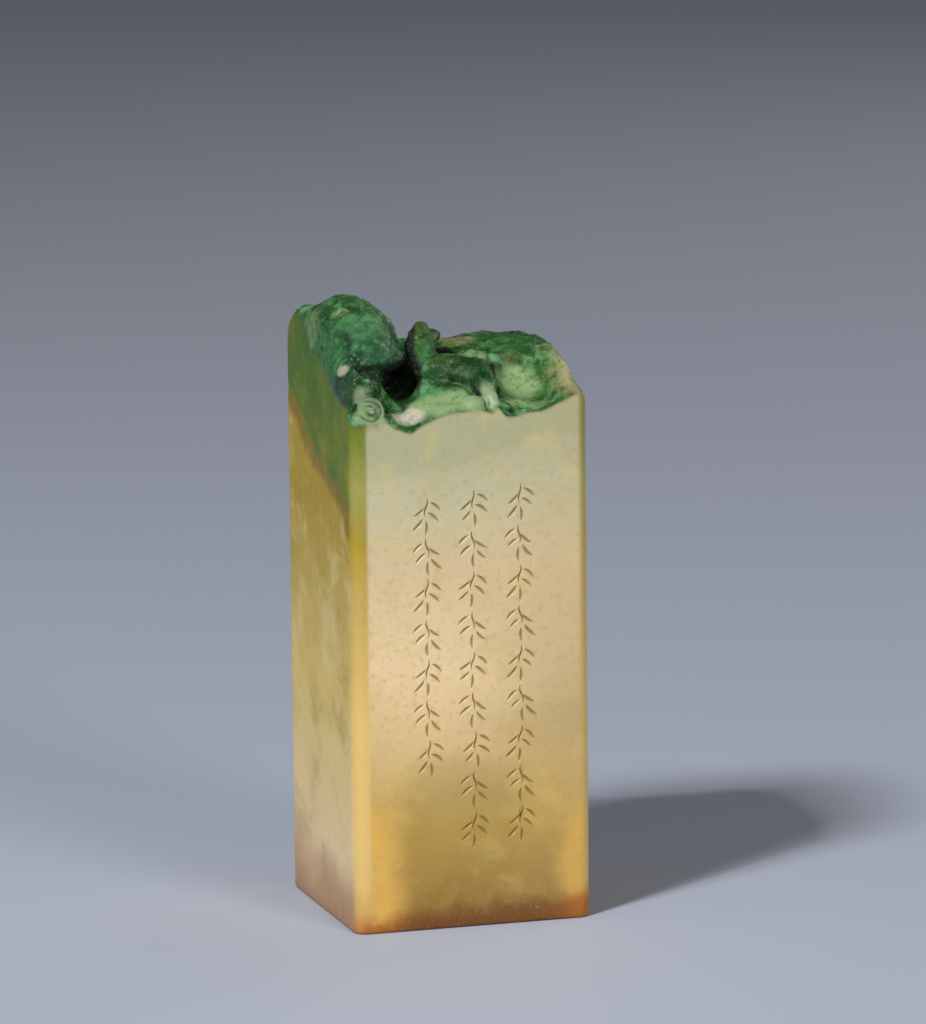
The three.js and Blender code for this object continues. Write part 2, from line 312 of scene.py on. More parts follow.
@dataclass
class Rockwork:
    """The carved top, as distances to its forms. Heights are over the shoulder, in millimetres."""

    size: StoneSize
    boulder_height: float = 12.0
    boulder_reach: float = 8.9
    boulder_half_width: float = 5.5
    boulder_half_height: float = 7.0
    pinnacle_height: float = 9.1
    pinnacle_tip_radius: float = 0.9
    ridge_height: float = 5.9
    ground_climb: float = 3.3
    haunch_radius: float = 2.35
    leg_radius: float = 0.85
    curl_radius: float = 1.6
    scoop_reach: float = 5.2
    side_wear: float = 2.4
    left_wear: float = 3.4
    height_share: float = 0.85
    join_fillet: float = 1.2
    cut_fillet: float = 0.9
    rim_round: float = 0.32
    warp: float = 0.3
    warp_pitch: float = 2.6
    lump: float = 0.16
    lump_pitch: float = 1.9
    seed: int = 7

    def ground(self) -> Field:
        """Shapes the ground, from its edge on the front face up to its climb behind.

        Returns:
            Distances to it.
        """
        edge = profile(
            [(0, 0.7), (0.12, 0.2), (0.19, -1.0), (0.25, -1.7), (0.31, -0.7), (0.38, -0.2)]
            + [(0.5, 0.5), (0.59, 0.0), (0.68, -0.4), (0.82, 0.6), (0.94, 1.6), (1, 1.2)]
        )
        climb = profile([(0, 0), (0.15, 0.48), (0.32, 0.97), (0.52, 1), (0.82, 0.75), (1, 0.2)])
        s = self.size

        def distance(at: np.ndarray) -> np.ndarray:
            """Returns the distance to the ground."""
            over = edge(at[:, 0] / s.width + 0.5) + self.ground_climb * climb(at[:, 1] / s.depth + 0.5)
            return self.height_share * (at[:, 2] - s.shoulder - over)

        return distance

    def ridge(self) -> Field:
        """Shapes the rock ridge on the right, cut off by a flank that slants across the stone.

        Returns:
            Distances to it.
        """
        crest = profile(
            [(0, 0.05), (0.05, 0.19), (0.15, 0.41), (0.24, 0.68), (0.44, 0.86), (0.61, 1), (0.8, 0.88), (1, 0.56)]
        )
        s = self.size
        a, b, c = (np.array(s.left(*p)) for p in ((10.0, 19.5, 2), (19.5, 5.0, 2), (12.5, 21.5, 7)))
        normal = np.cross(b - a, c - a)
        normal /= np.linalg.norm(normal)
        normal *= np.sign((np.array(s.right(0, s.depth, 0)) - a) @ normal)

        def distance(at: np.ndarray) -> np.ndarray:
            """Returns the distance to the ridge."""
            below = s.shoulder + self.ridge_height * crest(at[:, 1] / s.depth + 0.5) - at[:, 2]
            return -soft_min(self.height_share * below, (at - a) @ normal, 1.5)

        return distance

    def boulder(self) -> Field:
        """Shapes the big rounded rock on the left, with what backs and carries it.

        Returns:
            Distances to it.
        """
        s, half_width, half_height = self.size, self.boulder_half_width, self.boulder_half_height
        return blend(
            2.2,
            egg(
                s.left(self.boulder_reach - half_width, 12.8, self.boulder_height - half_height),
                (half_width, 8.6, half_height),
                (0, 0, 8),
            ),
            egg(s.left(1.0, 8.8, 0.4), (5.2, 8.4, 4.4), (-22, 0, 4)),
            egg(s.left(1.4, 20.4, self.boulder_height - 8.7), (6.2, 9.0, 6.8)),
        )

    def pinnacle(self) -> Field:
        """Shapes the twin pinnacle between the boulder and the ridge.

        Returns:
            Distances to it.
        """
        s, tip = self.size, self.pinnacle_height - self.pinnacle_tip_radius
        return blend(
            1.3,
            limb(
                [s.left(11.4, 12.2, 1.5), s.left(11.6, 11.4, tip - 3), s.left(11.4, 10.6, tip)],
                [3.0, 2.1, self.pinnacle_tip_radius],
            ),
            limb([s.left(12.8, 13.4, 2.5), s.left(13.2, 12.6, tip - 1.5)], [2.4, 1.2]),
        )

    def haunch(self) -> Field:
        """Shapes the animal's haunch.

        Returns:
            Distances to it.
        """
        s, r = self.size, self.haunch_radius
        return limb(
            [
                s.left(12.2, 10.0, 2.8),
                s.left(14.4, 8.0, 3.2),
                s.left(16.2, 6.2, 2.9),
                s.left(17.2, 3.8, 1.6),
            ],
            [0.95 * r, 0.9 * r, r, 0.67 * r],
        )

    def lower_leg(self) -> Field:
        """Shapes the leg from the haunch down to the front edge.

        Returns:
            Distances to it.
        """
        s, r = self.size, self.leg_radius
        return limb(
            [s.left(16.4, 3.4, 2.6), s.left(16.8, 1.6, 1.2), s.left(17.3, 0.3, -0.6)],
            [r, r, 1.1 * r],
        )

    def toes(self) -> Field:
        """Shapes the two toes that rest on the front edge.

        Returns:
            Distances to them.
        """
        s = self.size
        return blend(
            0.3,
            egg(s.left(14.8, 1.6, 0.6), (1.4, 1.6, 1.1)),
            egg(s.left(18.5, 0.7, 0.1), (0.8, 0.9, 0.6)),
        )

    def tendril(self) -> Field:
        """Shapes the curled tendril at the near corner, with the finger of rock above it.

        Returns:
            Distances to it.
        """
        s, r = self.size, self.curl_radius
        return blend(
            0.4,
            egg(s.left(2.6, 0.6, 0.5), (r, r, 1.1 * r)),
            limb([s.left(0.8, 0.9, 0.8), s.left(1.4, 1.3, 2.0), s.left(2.8, 1.8, 3.1)], [0.7, 0.65, 0.5]),
        )

    def back_rocks(self) -> Field:
        """Shapes the rounder rocks that step down from the ridge's crest to the back face.

        Returns:
            Distances to them.
        """
        s, base = self.size, self.ridge_height - 4.4
        return blend(
            0.9,
            egg(s.back_left(14.5, 4.6, base - 0.6), (4.6, 5.2, 4.0), (12, 0, -15)),
            egg(s.back_right(5.6, 3.8, base - 0.2), (5.0, 5.0, 3.8), (10, 0, 20)),
            egg(s.back_left(10.2, 0.8, -0.4), (4.2, 3.4, 3.2)),
            egg(s.back_right(9.2, 0.4, -0.6), (3.6, 3.0, 3.6)),
        )

    def groove(self, path: Sequence[Place], radii: Sequence[float]) -> Field:
        """Returns a limb whose places are measured in from the left and front faces."""
        return limb([self.size.left(*place) for place in path], radii)

    def cuts(self) -> list[Field]:
        """Shapes what is cut out of the mass: the scoop, the dark hollow and its gap, and the grooves.

        Returns:
            Distances to each.
        """
        s = self.size
        scoop = egg(s.right(self.scoop_reach + 0.3, 2.6, 6.2), (self.scoop_reach, 8.2, 6.5))
        cavity = ((5.4, 3.6, 1.4), (7.4, 5.0, 2.6), (8.0, 8.5, 2.8), (7.6, 12.5, 3.0)), (1.0, 1.7, 2.3, 1.6)
        gap = ((8.4, 8.2, 4.2), (8.8, 12.2, 5.4), (9.2, 17.0, 6.4)), (1.5, 1.3, 1.2)
        undercut = ((2.8, 3.2, 4.4), (5.0, 3.6, 4.0), (7.4, 5.6, 3.6)), (0.7, 1.1, 1.3)
        valley = ((14.2, 12.5, 4.4), (17.6, 9.2, 4.4), (19.0, 5.0, 3.0)), (1.2, 1.2, 1.0)
        cleft = ((13.8, 8.6, 6.0), (14.5, 12.5, 5.6), (14.6, 18.0, 7.4)), (0.6, 0.9, 0.8)
        gully = [s.back_left(8.6, 11.0, 4.6), s.back_left(9.0, 5.0, 3.4), s.back_left(8.0, -0.6, 1.0)]
        grooves = [self.groove(path, radii) for path, radii in (cavity, gap, undercut, valley, cleft)]
        return [scoop, *grooves, limb(gully, (1.0, 1.2, 1.5))]

    def fine_cuts(self) -> list[Field]:
        """Shapes the narrow cuts: the tendril's curl, and the creases beside the leg and the tendril.

        Returns:
            Distances to each.
        """
        s = self.size
        turns = np.linspace(0.0, 2.6 * math.pi, 16)
        radii = 1.1 - 0.08 * turns
        curl = [s.left(2.5 - r * math.cos(t), 0.0, 0.6 + r * math.sin(t)) for t, r in zip(turns, radii)]
        behind_curl = ((3.6, 1.6, 2.6), (4.3, 0.8, 1.4), (5.4, -0.4, -0.9)), (0.3, 0.4, 0.3)
        outside_leg = ((17.2, 6.4, 5.0), (18.2, 4.4, 3.2), (18.3, 2.2, 1.2), (19.0, 0.2, -0.2)), (0.2, 0.3, 0.25, 0.1)
        creases = [self.groove(path, radii) for path, radii in (behind_curl, outside_leg)]
        return [limb(curl, [0.22] * len(curl), 0.05), *creases]

    def rough(self) -> Field:
        """Joins the carving before its edges are worn, with forms that waver as hand-cut ones do.

        Returns:
            Distances to it.
        """
        mass = blend(self.join_fillet, self.ground(), self.ridge(), self.boulder(), self.pinnacle(), self.back_rocks())
        opened = hollowed(self.cut_fillet, mass, *self.cuts())
        beast = blend(0.35, opened, self.haunch(), self.lower_leg(), self.toes(), self.tendril())
        whole = hollowed(0.25, beast, *self.fine_cuts())
        grains = [Grain(self.seed + i, self.warp_pitch) for i in range(3)]
        lumps = Grain(self.seed + 3, self.lump_pitch)

        def wavering(at: np.ndarray) -> np.ndarray:
            """Returns the distance to the wavering forms."""
            shift = np.stack([grain.at(at) for grain in grains], axis=1)
            return whole(at + self.warp * shift) + self.lump * lumps.at(at)

        return wavering

    def carving(self) -> Field:
        """Wears the edges of the carved top round, but leaves them crisp along the front.

        Returns:
            Distances to it.
        """
        form, s = self.rough(), self.size
        sides = [(0, -1, s.width / 2, self.left_wear), (0, 1, s.width / 2, self.side_wear)]
        sides.append((1, 1, s.depth / 2, self.side_wear))

        def distance(at: np.ndarray) -> np.ndarray:
            """Measures the worn form.

            Args:
                at: The points.

            Returns:
                The distance at each.
            """
            whole = form(at)
            for axis, sign, half, wear in sides:
                whole = -soft_min(-whole, 0.15 * wear - (sign * at[:, axis] - half), wear)
            return whole

        return distance

    def stone(self) -> Field:
        """Returns the shaft and its carved top as one form that goes on downwards without end."""
        carving, s = self.carving(), self.size
        return lambda at: -soft_min(-carving(at), -s.beyond_sides(at), self.rim_round)


@dataclass
class Lattice:
    """A regular grid of points that a form is sampled on, to take its surface off as a mesh."""

    low: np.ndarray
    high: np.ndarray
    pitch: float
    skip: int = 3
    rounds: int = 40

    def __post_init__(self) -> None:
        """Counts the points along each axis, in whole coarse steps."""
        steps = np.ceil((self.high - self.low) / (self.pitch * self.skip)).astype(int)
        self.counts = steps * self.skip + 1

    def points(self, index: np.ndarray) -> np.ndarray:
        """Returns the place of each grid index."""
        return self.low + self.pitch * index

    def sample(self, form: Field) -> np.ndarray:
        """Samples a form, closely only where its surface is near.

        Args:
            form: Distances to the form.

        Returns:
            The distance at each grid point.
        """
        coarse_counts = (self.counts - 1) // self.skip + 1
        coarse_index = np.indices(coarse_counts).reshape(3, -1).T * self.skip
        coarse = form(self.points(coarse_index)).reshape(coarse_counts)
        nearest = [np.rint(np.arange(n) / self.skip).astype(int) for n in self.counts]
        values = coarse[np.ix_(*nearest)]
        near = np.argwhere(np.abs(values) < self.pitch * (self.skip + 2))
        values[tuple(near.T)] = form(self.points(near))
        for axis in range(2):
            edge = [slice(None)] * 3
            for end in (0, -1):
                edge[axis] = end
                values[tuple(edge)] = self.pitch
        values[:, :, -1] = self.pitch
        self.close_touches(values)
        return values

    def close_touches(self, values: np.ndarray) -> None:
        """Fills the shallower gap wherever the form would touch itself along one grid edge.

        Args:
            values: The distance at each grid point, which this changes.
        """
        for _ in range(self.rounds):
            filled = 0
            for u, v in ((0, 1), (1, 2), (0, 2)):
                inside = values < 0
                steps = [np.zeros(3, int) for _ in range(4)]
                steps[1][u] = steps[2][u] = steps[2][v] = steps[3][v] = 1
                ring = []
                for step in steps:
                    window = [slice(None)] * 3
                    for axis in (u, v):
                        window[axis] = slice(step[axis], values.shape[axis] - 1 + step[axis])
                    ring.append(inside[tuple(window)])
                bad = np.argwhere((ring[0] == ring[2]) & (ring[1] == ring[3]) & (ring[0] != ring[1]))
                if not len(bad):
                    continue
                corners = np.stack([bad + s for s in steps])
                depth = np.array([values[tuple(c.T)] for c in corners])
                pick = np.where(depth >= 0, depth, np.inf).argmin(axis=0)
                values[tuple(corners[pick, np.arange(len(bad))].T)] = -0.1 * self.pitch
                filled += len(bad)
            if not filled:
                return

    def surface(self, values: np.ndarray) -> tuple[np.ndarray, np.ndarray]:
        """Takes the surface off the samples. It stays open where the form runs out of the grid below.

        Args:
            values: The distance at each grid point.

        Returns:
            The vertices, and four vertex indices for each face.
        """
        inside = values < 0
        corners = np.array([[a & 1, (a >> 1) & 1, (a >> 2) & 1] for a in range(8)])
        shape = np.array(values.shape) - 1
        full = sum(inside[tuple(slice(o, o + n) for o, n in zip(c, shape))].astype(np.int8) for c in corners)
        cells = np.argwhere((full > 0) & (full < 8))
        number = np.full(shape, -1)
        number[tuple(cells.T)] = np.arange(len(cells))
        at = np.stack([values[tuple((cells + c).T)] for c in corners], axis=1)
        total, crossings = np.zeros((len(cells), 3)), np.zeros(len(cells))
        for a in range(8):
            for b in (a | bit for bit in (1, 2, 4) if not a & bit):
                crossed = (at[:, a] < 0) != (at[:, b] < 0)
                t = np.divide(at[:, a], at[:, a] - at[:, b], out=np.zeros(len(cells)), where=crossed)
                total += np.where(crossed[:, None], corners[a] + t[:, None] * (corners[b] - corners[a]), 0.0)
                crossings += crossed
        vertices = self.points(cells + total / crossings[:, None])
        faces = []
        for axis in range(3):
            u, v = np.eye(3, dtype=int)[(axis + 1) % 3], np.eye(3, dtype=int)[(axis + 2) % 3]
            cut = [slice(1, n - 1) for n in values.shape]
            low, high = list(cut), list(cut)
            low[axis], high[axis] = slice(0, -1), slice(1, None)
            edges = np.argwhere(inside[tuple(low)] != inside[tuple(high)]) + u + v
            ring = [number[tuple((edges - step).T)] for step in (u + v, v, 0 * u, u)]
            quads = np.stack(ring, axis=1)
            solid_below = inside[tuple(edges.T)]
            faces.append(np.where(solid_below[:, None], quads, quads[:, ::-1]))
        return vertices, np.concatenate(faces)


def settle(vertices: np.ndarray, form: Field, reach: float, rounds: int = 3) -> np.ndarray:
    """Moves vertices onto a form's surface.

    Args:
        vertices: Their places near the surface.
        form: Distances to the form.
        reach: The most that one may move in a round.
        rounds: How often they are moved.

    Returns:
        Their new places.
    """
    for _ in range(rounds):
        slope = slope_of(vertices, form)
        size = np.maximum(np.einsum("ij,ij->i", slope, slope), 0.05)
        move = -(form(vertices) / size)[:, None] * slope
        far = np.maximum(length_of(move) / reach, 1.0)
        vertices = vertices + move / far[:, None]
    return vertices


def slope_of(at: np.ndarray, form: Field, step: float = 0.02) -> np.ndarray:
    """Returns the gradient of a form's distance at each point."""
    shifts = step * np.eye(3)
    return np.stack([(form(at + shift) - form(at - shift)) / (2 * step) for shift in shifts], axis=1)


def edge_loop(faces: np.ndarray, count: int) -> list[int]:
    """Finds the open edge of a mesh.

    Args:
        faces: Vertex indices of each face.
        count: How many vertices the mesh has.

    Returns:
        The vertices along the edge, in the direction in which the faces use it.
    """
    start, end = faces.ravel(), np.roll(faces, -1, axis=1).ravel()
    single = ~np.isin(start * count + end, end * count + start)
    follow = dict(zip(start[single].tolist(), end[single].tolist()))
    loop = [next(iter(follow))]
    while follow[loop[-1]] != loop[0]:
        loop.append(follow[loop[-1]])
    return loop


class Signal:
    """A node's output. It can be added, subtracted and multiplied, which adds Math nodes."""

    def __init__(self, kit: NodeKit, socket: bpy.types.NodeSocket) -> None:
        """Keeps the output and the tree that its Math nodes go into."""
        self.kit, self.socket = kit, socket

    def __add__(self, other: Any) -> Signal:
        """Returns the sum."""
        return self.kit.math("ADD", self, other)

    def __sub__(self, other: Any) -> Signal:
        """Returns the difference."""
        return self.kit.math("SUBTRACT", self, other)

    def __rsub__(self, other: Any) -> Signal:
        """Returns the difference from a plain number."""
        return self.kit.math("SUBTRACT", other, self)

    def __mul__(self, other: Any) -> Signal:
        """Returns the product."""
        return self.kit.math("MULTIPLY", self, other)

    __radd__, __rmul__ = __add__, __mul__


class NodeKit:
    """Short ways to add and link nodes in a tree."""

    def __init__(self, tree: bpy.types.NodeTree) -> None:
        """Keeps the tree that the nodes go into."""
        self.tree = tree

    def add(self, kind: str, inputs: dict[Any, Any] | None = None, **settings: Any) -> bpy.types.Node:
        """Adds a node.

        Args:
            kind: The node's type name.
            inputs: Plain values or signals for its inputs, by name or number.
            settings: Its properties.

        Returns:
            The node.
        """
        node = self.tree.nodes.new(kind)
        for name, value in settings.items():
            setattr(node, name, value)
        for key, value in (inputs or {}).items():
            self.feed(node.inputs[key], value)
        return node

    def out(self, kind: str, inputs: dict[Any, Any] | None = None, output: str | int = 0, **settings: Any) -> Signal:
        """Adds a node and returns one of its outputs, the first unless another is named."""
        return Signal(self, self.add(kind, inputs, **settings).outputs[output])

    def feed(self, socket: bpy.types.NodeSocket, value: Any) -> None:
        """Links a signal to a socket, or sets the socket to a tone or a plain value.

        Args:
            socket: The socket.
            value: What goes into it.
        """
        if isinstance(value, Signal):
            self.tree.links.new(value.socket, socket)
        else:
            socket.default_value = value.rgba() if isinstance(value, Tone) else value

    def math(self, operation: str, *values: Any, clamp: bool = False) -> Signal:
        """Returns the result of a Math node."""
        return self.out("ShaderNodeMath", dict(enumerate(values)), operation=operation, use_clamp=clamp)

    def xyz(self, x: Any = 0.0, y: Any = 0.0, z: Any = 0.0) -> Signal:
        """Returns three values as one vector."""
        return self.out("ShaderNodeCombineXYZ", {"X": x, "Y": y, "Z": z})


class ShaderKit(NodeKit):
    """Short ways to build a material."""

    def vector(self, operation: str, *values: Any) -> Signal:
        """Returns the result of a Vector Math node."""
        output = "Value" if operation == "LENGTH" else "Vector"
        return self.out("ShaderNodeVectorMath", dict(enumerate(values)), output, operation=operation)

    def parts(self, at: Signal) -> tuple[Signal, ...]:
        """Returns the three coordinates of a place."""
        outputs = self.add("ShaderNodeSeparateXYZ", {"Vector": at}).outputs
        return tuple(Signal(self, socket) for socket in outputs)

    def ease(self, value: Any, low: float, high: float, start: float = 0.0, end: float = 1.0) -> Signal:
        """Returns start below low, end above high and an S-curve between them."""
        inputs = {"Value": value, "From Min": low, "From Max": high, "To Min": start, "To Max": end}
        return self.out("ShaderNodeMapRange", inputs, interpolation_type="SMOOTHSTEP")

    def noise(
        self, at: Signal, scale: float, detail: float = 3.0, rough: float = 0.55, bent: float = 0.0, output: str = "Fac"
    ) -> Signal:
        """Returns noise of a scale in waves a millimetre."""
        inputs = {"Vector": at, "Scale": scale, "Detail": detail, "Roughness": rough, "Distortion": bent}
        return self.out("ShaderNodeTexNoise", inputs, output)

    def moved(self, at: Signal, scale: float, by: float) -> Signal:
        """Returns a place moved about by noise of a scale, by up to half of some millimetres each way."""
        shift = self.vector("SUBTRACT", self.noise(at, scale, 2.0, output="Color"), (0.5, 0.5, 0.5))
        return self.vector("MULTIPLY_ADD", shift, (by, by, by), at)

    def mix(self, share: Any, a: Any, b: Any) -> Signal:
        """Returns a share of colour b over colour a."""
        return self.out("ShaderNodeMix", {0: share, 6: a, 7: b}, 2, data_type="RGBA", clamp_factor=True)

    def tint(self, colour: Any, tone: Tone, value: Signal, low: float, high: float, share: float = 1.0) -> Signal:
        """Returns a colour with a tone over it where a value is past low, in full share from high on."""
        return self.mix(self.ease(value, low, high, 0.0, share), colour, tone)

    def ramp(self, value: Signal, stops: Stops) -> Signal:
        """Returns the tone at a value.

        Args:
            value: Where between the stops.
            stops: The stops and the tone at each, from the first, which is at 0, to the last.

        Returns:
            The colour.
        """
        end = stops[-1][0]
        share = self.out("ShaderNodeMapRange", {"Value": value, "From Min": 0.0, "From Max": end})
        node = self.add("ShaderNodeValToRGB", {"Fac": share})
        elements = node.color_ramp.elements
        for i, (place, tone) in enumerate(stops):
            element = elements[i] if i < 2 else elements.new(place / end)
            element.position, element.color = place / end, tone.rgba()
        return Signal(self, node.outputs["Color"])


class Tone(Enum):
    """The stone's colours, as they look in plain light (sRGB, 0 to 255). Most are its own; some also serve for painted
    shade and painted glints.
    """

    EMERALD = (0, 56, 4)
    # Near-black green, used only for painted shade in hollows and under the boulder.
    SHADOW_GREEN = (0, 10, 0)
    MOSS = (32, 94, 12)
    JADE = (58, 132, 66)
    LEEK = (106, 120, 18)
    SAGE = (130, 154, 108)
    PISTACHIO = (148, 168, 128)
    CELADON = (150, 180, 122)
    VERDIGRIS = (108, 168, 116)
    PINE = (4, 82, 38)
    FERN = (8, 90, 8)
    TEAL = (0, 50, 28)
    LICHEN = (62, 88, 10)
    CREAM = (196, 184, 130)
    ROSE = (142, 130, 84)
    # Pale mineral crust; also used for painted glints and part of a painted highlight.
    CHALK = (214, 204, 184)
    MIST = (180, 175, 136)
    PALE = (194, 187, 149)
    PEARL = (218, 191, 147)
    BEIGE = (232, 204, 156)
    HONEY = (216, 186, 128)
    STRAW = (222, 186, 104)
    SAFFRON = (230, 182, 84)
    WILLOW = (160, 154, 82)
    AMBER_GOLD = (196, 158, 72)
    GOLD = (193, 162, 84)
    BRASS = (152, 126, 54)
    GROOVE = (140, 114, 48)
    # Darker tan, for the grain and for painted shade on the right of the front.
    SHADE_AND_GRAIN = (160, 138, 84)
    BROWN = (146, 108, 36)
    AMBER = (116, 66, 0)
    RUSSET = (174, 92, 0)
    UMBER = (104, 80, 4)
    TAN = (172, 146, 36)
    SAND = (220, 194, 112)
    CLAY = (234, 208, 158)
    PLUM = (190, 152, 116)
    MAUVE = (152, 112, 88)

    def rgba(self) -> tuple[float, float, float, float]:
        """Returns the colour in linear light."""
        linear = (c / 255 / 12.92 if c <= 10 else ((c / 255 + 0.055) / 1.055) ** 2.4 for c in self.value)
        return (*linear, 1.0)


Stops = tuple[tuple[float, Tone], ...]


@dataclass(frozen=True)
class StainAndShade:
    """A cloud of one colour in the carved stone, in millimetres: mostly the stone's own stains, but some are painted
    shade and one is partly a painted highlight. A polished one is even and smooth.
    """

    tone: Tone
    at: Place
    reach: Place
    strength: float = 1.0
    polished: bool = False


@dataclass(frozen=True)
class Soapstone:
    """Polished, waxed soapstone: honey and olive in the shaft, and green in the carved top.

    Drift and wisp are noises that move a place about: their scale in waves a millimetre, and how far they
    reach. The rind's edge, the seam's height and the dark foot's height are in millimetres.
    """

    size: StoneSize
    roughness: float = 0.27
    ior: float = 1.55
    subsurface: float = 0.2
    subsurface_depth: float = 0.0011
    subsurface_radius: Place = (1.0, 0.75, 0.4)
    gloss: float = 0.38
    bump: float = 0.6
    bump_depth: float = 0.0004
    drift: tuple[float, float] = (0.09, 7.0)
    wisp: tuple[float, float] = (0.45, 2.0)
    rind_edge: float = -12.0
    seam_height: float = 52.4
    foot_height: float = 4.6
    stains_and_shade: tuple[StainAndShade, ...] = (
        StainAndShade(Tone.PINE, (-10.5, -3.0, 66.5), (6.5, 9.5, 4.8), 0.5),
        StainAndShade(Tone.VERDIGRIS, (-10.8, -6.8, 68.2), (2.8, 3.0, 1.8), 0.28),
        StainAndShade(Tone.TEAL, (-13.0, -6.6, 66.8), (2.0, 2.2, 1.4), 0.85),
        StainAndShade(Tone.TEAL, (-11.6, -8.8, 64.9), (3.2, 2.6, 1.5), 0.9),
        StainAndShade(Tone.CELADON, (-13.8, 2.6, 66.8), (1.5, 5.0, 3.0), 0.45),
        StainAndShade(Tone.CELADON, (-12.5, -4.1, 69.5), (1.6, 0.9, 0.5), 0.7),
        StainAndShade(Tone.PINE, (-9.0, -8.6, 65.0), (3.2, 3.2, 1.8), 0.8),
        StainAndShade(Tone.JADE, (-14.0, -6.0, 65.6), (1.5, 7.0, 3.6), 0.6),
        StainAndShade(Tone.EMERALD, (-13.0, -10.4, 61.8), (2.6, 3.2, 3.0), 0.95),
        # Painted shade: near-black green under the boulder's lip and in the dark hollow by the pinnacle.
        StainAndShade(Tone.SHADOW_GREEN, (-8.4, -6.4, 63.2), (3.2, 4.0, 1.9), 0.7),
        StainAndShade(Tone.SHADOW_GREEN, (-5.2, -2.2, 61.4), (3.4, 6.0, 3.4), 0.85),
        StainAndShade(Tone.JADE, (-2.6, -10.4, 60.2), (6.4, 3.4, 1.9), 0.8),
        StainAndShade(Tone.CELADON, (-3.0, -11.6, 60.0), (5.2, 3.0, 1.8), 0.9),
        StainAndShade(Tone.EMERALD, (0.4, -8.0, 63.2), (4.6, 4.2, 2.4), 0.95),
        StainAndShade(Tone.LICHEN, (-0.8, -7.2, 63.6), (2.4, 2.2, 1.4), 0.5),
        StainAndShade(Tone.PISTACHIO, (2.7, -11.9, 60.3), (1.1, 2.6, 2.3), 0.85, True),
        StainAndShade(Tone.SAGE, (0.6, -12.8, 59.8), (1.5, 1.6, 1.4), 0.8, True),
        StainAndShade(Tone.LICHEN, (-2.4, -3.2, 68.0), (2.4, 2.6, 2.6), 0.95),
        StainAndShade(Tone.MOSS, (-2.0, -3.6, 64.8), (2.8, 2.6, 2.2), 0.8),
        StainAndShade(Tone.CELADON, (3.6, -1.6, 63.3), (2.8, 2.2, 0.9), 0.7),
        StainAndShade(Tone.FERN, (9.4, 1.0, 64.7), (5.0, 5.0, 1.5), 0.85),
        StainAndShade(Tone.BRASS, (8.0, -3.4, 63.1), (2.4, 1.2, 0.8), 0.18),
        StainAndShade(Tone.MOSS, (10.0, -6.6, 61.2), (4.6, 6.0, 2.4), 0.7),
        StainAndShade(Tone.CELADON, (8.2, -5.4, 60.8), (2.9, 4.0, 2.0), 0.85),
        StainAndShade(Tone.CELADON, (7.2, -10.6, 59.0), (3.2, 2.2, 1.5), 0.92),
        StainAndShade(Tone.ROSE, (3.6, 4.2, 64.7), (2.6, 3.2, 1.2), 0.85),
        StainAndShade(Tone.CELADON, (12.4, -3.4, 63.8), (1.8, 3.6, 1.3), 0.4),
        StainAndShade(Tone.CREAM, (15.5, -9.5, 61.0), (4.4, 8.5, 6.0), 0.95),
        StainAndShade(Tone.SAGE, (-11.5, -13.3, 59.5), (2.2, 1.4, 2.0), 0.9, True),
        StainAndShade(Tone.SAGE, (-12.0, -12.2, 61.2), (1.3, 1.2, 1.4), 0.5, True),
        StainAndShade(Tone.EMERALD, (0.8, -8.7, 62.9), (4.4, 3.8, 2.4), 0.75, True),
        # Partly pale stone, partly a painted highlight on the finger of rock.
        StainAndShade(Tone.CHALK, (-12.5, -12.6, 61.3), (0.7, 0.9, 1.3), 0.15, True),
        StainAndShade(Tone.CELADON, (7.6, -6.0, 60.8), (3.0, 4.8, 2.4), 0.4, True),
        StainAndShade(Tone.CELADON, (-2.6, -11.6, 60.0), (6.0, 3.4, 2.2), 0.35, True),
    )
    crusts: tuple[StainAndShade, ...] = (
        StainAndShade(Tone.CHALK, (-6.3, -11.6, 58.7), (2.4, 2.0, 1.1)),
        StainAndShade(Tone.CHALK, (-13.5, -9.2, 63.8), (1.0, 1.2, 0.9), 0.75),
    )
    shaft_tones: Stops = (
        (0.0, Tone.AMBER),
        (2.8, Tone.BROWN),
        (11.5, Tone.AMBER_GOLD),
        (20.5, Tone.HONEY),
        (30.0, Tone.BEIGE),
        (40.0, Tone.PEARL),
        (49.0, Tone.PALE),
        (55.0, Tone.MIST),
    )
    edge_tones: Stops = (
        (0.0, Tone.RUSSET),
        (4.5, Tone.STRAW),
        (24.0, Tone.STRAW),
        (38.0, Tone.GOLD),
        (45.0, Tone.TAN),
        (50.0, Tone.WILLOW),
        (57.0, Tone.LEEK),
    )
    rind_tones: Stops = ((0.0, Tone.MAUVE), (3.5, Tone.PLUM), (7.5, Tone.CLAY), (26.0, Tone.SAND), (46.0, Tone.TAN))
    corners: tuple[StainAndShade, ...] = (
        StainAndShade(Tone.BRASS, (-1.0, -13.5, 12.0), (9.0, 12.0, 9.0), 0.5),
        StainAndShade(Tone.SAFFRON, (-14.0, -13.5, 6.0), (6.5, 12.0, 9.0), 0.8),
        StainAndShade(Tone.SAFFRON, (15.0, -13.5, 6.0), (5.0, 12.0, 9.0), 0.6),
    )

    def cloud(self, kit: ShaderKit, at: Signal, stain: StainAndShade) -> Signal:
        """Finds how much of a stain there is at a place.

        Args:
            kit: The nodes.
            at: The place in millimetres.
            stain: The stain.

        Returns:
            The share, from 0 to the stain's strength.
        """
        inverse = tuple(1.0 / reach for reach in stain.reach)
        away = kit.vector("MULTIPLY", kit.vector("SUBTRACT", at, stain.at), inverse)
        return kit.ease(kit.vector("LENGTH", away), 1.15, 0.55, 0.0, stain.strength)

    def most(self, kit: ShaderKit, at: Signal, stains_and_shade: Iterable[StainAndShade]) -> Signal:
        """Returns how much there is of the strongest of some stains at a place."""
        clouds = (self.cloud(kit, at, stain) for stain in stains_and_shade)
        return reduce(lambda a, b: kit.math("MAXIMUM", a, b), clouds)

